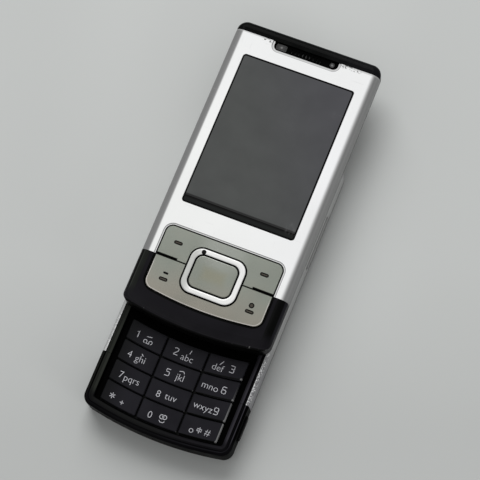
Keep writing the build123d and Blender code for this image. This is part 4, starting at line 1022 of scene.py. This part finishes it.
# ---- marks on the function keys
DASH = (2.7, 1.1)
MARK_LINE = 0.36            # the dark outline round each mark's paler middle
MARK_CORNER = 0.48          # share of a mark's smaller side
dashes = {                  # body, middle and size
    "soft_left_mark": ("soft_key_plate", (-13.5, -8.9), DASH),
    "soft_right_mark": ("soft_key_plate", (13.8, -8.9), DASH),
    "call_mark": ("call_end_plate", (-13.5, -20.65), DASH),
    "call_lift_mark": ("call_end_plate", (-13.45, -18.7), (1.6, 0.64)),
    "end_mark": ("call_end_plate", (13.8, -20.75), DASH),
    "end_dot_mark": ("call_end_plate", (13.75, -18.8), (1.65, 1.65)),
}
for name, (body, centre, size) in dashes.items():
    top = (soft_high if body == "soft_key_plate" else call_high).z
    outline = pill(centre, size, MARK_CORNER * min(size))
    mesh = prisms(name, [outline], top, top + INK_THICK)
    add_piece(name, mesh, body, mark_ink)
    inner = (size[0] - 2 * MARK_LINE, size[1] - 2 * MARK_LINE)
    if min(inner) > 0:
        outline = pill(centre, inner, MARK_CORNER * min(inner))
        mesh = prisms(name, [outline], top, top + 1.5 * INK_THICK)
        add_piece(name + "_inlay", mesh, body, mark_inlay)

# ---- rear camera window
EYE_RIM = 1.1               # width of its metal rim
EYE_SINK = 0.15             # the glass lies this much below the rim
EYE_GAP = 0.02              # between the rim and the glass
INNER_EDGE = 0.12           # the rim's slope at the glass
OUTER_EDGE = 0.25           # the rim's slope outside
LENS = (                    # steps of the lens: radius, and depth below the glass
    (2.6, 0.0), (2.4, 0.12), (2.15, 0.12), (2.0, 0.3),
    (1.52, 0.22), (0.95, 0.12), (0.38, 0.08), (0.0, 0.07),
)
eye_radius = (eye_high.x - eye_low.x) / 2
hole = eye_radius - EYE_RIM
rim_profile = [
    (hole, eye_high.z), (hole, INNER_EDGE), (hole + INNER_EDGE, 0.0),
    (eye_radius - OUTER_EDGE, 0.0), (eye_radius, OUTER_EDGE), (eye_radius, eye_high.z),
]
rim_mesh = lathe("camera_window_rim", rim_profile, eye_centre.xy)
rim = add_piece("camera_window_rim", rim_mesh, "base", steel)
pane_profile = [(0.0, eye_high.z), (hole - EYE_GAP, eye_high.z), (hole - EYE_GAP, EYE_SINK)]
pane_profile += [(radius, EYE_SINK + depth) for radius, depth in LENS]
pane_mesh = lathe("camera_window_pane", pane_profile, eye_centre.xy)
add_piece("camera_window_pane", pane_mesh, "base", lens)
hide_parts("camera_window")

# ---- contacts
CONTACT = (2.2, 1.2)
CONTACT_PLACES = (-6.0, -2.0, 2.0)  # across, from the middle
middle_x = (battery_low.x + battery_high.x) / 2
outlines = [pill((middle_x + x, battery_high.y - 1.5), CONTACT, 0.2) for x in CONTACT_PLACES]
contacts = prisms("battery_contacts", outlines, battery_low.z - 0.02, battery_low.z + 0.2)
add_piece("battery_contacts", contacts, "base", gold)

SIM_SPRING = (0.8, 3.2)
SIM_PLACES = [(x, y) for y in (-3.8, 3.8) for x in (-2.54, 0.0, 2.54)]  # from the middle
sim_middle = (sim_low + sim_high) / 2
springs = [pill((sim_middle.x + x, sim_middle.y + y), SIM_SPRING, 0.3) for x, y in SIM_PLACES]
sim_springs = prisms("sim_contacts", springs, sim_high.z - 0.7, sim_high.z - 0.35)
add_piece("sim_contacts", sim_springs, "base", gold)

# ---- floor, light and camera
BACKGROUND = (0.575, 0.59, 0.58, 1.0)
FLOOR_SIZE = 6.0            # metres
FLOOR_LEVEL = -0.02
UP = (-0.36, 0.93)          # the photo's upward direction, on the floor


def shadow_floor():
    """A pale matt floor, with painted light and shade: darker in front of the phone and at its
    sides.
    """
    floor = Finish("pale_floor", specular=0.1)
    # Painted light and shade: the floor's colour is graded, lighter upward and darker at the far
    # sides.
    up = floor.plus(floor.times(floor.y, UP[1]), floor.times(floor.x, UP[0]))
    gain = floor.node("MapRange", up, -60.0, 0.0, 0.98, 1.14, interpolation_type="SMOOTHSTEP")
    across = floor.plus(floor.times(floor.x, UP[1]), floor.times(floor.y, -UP[0]))
    sides = floor.step(floor.math("ABSOLUTE", across), 28, 66)
    gain = floor.plus(gain, floor.times(sides, floor.step(up, -50, -10), -0.06))
    graded = floor.node("HueSaturation", named={"Value": gain, "Color": BACKGROUND})
    floor.colour(floor.vary(graded, floor.noise(0.01, 2.0), 0.01))
    floor.feed(floor.shader.inputs["Roughness"], 0.9)
    return floor.material


half = FLOOR_SIZE / 2 / MM
corners = [(-half, -half), (half, -half), (half, half), (-half, half)]
floor_mesh = prisms("floor", [corners], -1.0, FLOOR_LEVEL)
floor_mesh.materials.append(shadow_floor())
floor = add_object("floor", floor_mesh)

AMBIENT = 0.38              # light from all round
world = bpy.data.worlds.new("studio")
bpy.context.scene.world = world
world.use_nodes = True
air = world.node_tree
paths = air.nodes.new("ShaderNodeLightPath")
seen = paths.outputs["Is Camera Ray"]
for ray in ("Is Glossy Ray", "Is Transmission Ray"):
    either = air.nodes.new("ShaderNodeMath")
    either.operation = "MAXIMUM"
    air.links.new(seen, either.inputs[0])
    air.links.new(paths.outputs[ray], either.inputs[1])
    seen = either.outputs[0]
shade = air.nodes.new("ShaderNodeMix")
shade.data_type = "RGBA"
factor, lighting, backdrop = (shade.inputs[index] for index in MIX_INPUTS)
air.links.new(seen, factor)
lighting.default_value = grey(AMBIENT)
backdrop.default_value = BACKGROUND
sky = air.nodes["Background"]
air.links.new(shade.outputs[MIX_OUTPUT], sky.inputs["Color"])
sky.inputs["Strength"].default_value = 1.0


def softbox(name, place, size, power):
    """A square soft light aimed at the phone, its place and size in metres."""
    lamp = bpy.data.lights.new(name, "AREA")
    lamp.shape = "SQUARE"
    lamp.size = size
    lamp.energy = power
    holder = add_object(name, lamp)
    holder.location = place
    holder.rotation_euler = (-Vector(place)).to_track_quat("-Z", "Y").to_euler()


softbox("key_light", place=(-0.75, 1.45, 1.55), size=1.7, power=36.0)
softbox("side_light", place=(0.95, -0.35, 0.40), size=0.35, power=1.2)

IMAGE_SIZE = 480            # pixels
FOCAL = 1850.0              # pixels
SENSOR = 36.0               # width
CAMERA_AXES = (             # rows: image right, image down, into the scene
    (0.92384, 0.37508, -0.07636),
    (0.34118, -0.89734, -0.27997),
    (-0.17353, 0.2326, -0.95697),
)
CAMERA_OFFSET = Vector((-1.064, 1.968, 559.099))    # the model's origin, along those axes
camera_data = bpy.data.cameras.new("camera")
camera_data.sensor_width = SENSOR
camera_data.lens = FOCAL * SENSOR / IMAGE_SIZE
camera = add_object("camera", camera_data)
right, down, ahead = (Vector(axis) for axis in CAMERA_AXES)
turn = Matrix((right, -down, -ahead)).transposed()
camera_place = -(Matrix(CAMERA_AXES).transposed() @ CAMERA_OFFSET) * MM
camera.matrix_world = Matrix.Translation(camera_place) @ turn.to_4x4()
bpy.context.scene.camera = camera
bpy.context.scene.view_settings.view_transform = "Standard"
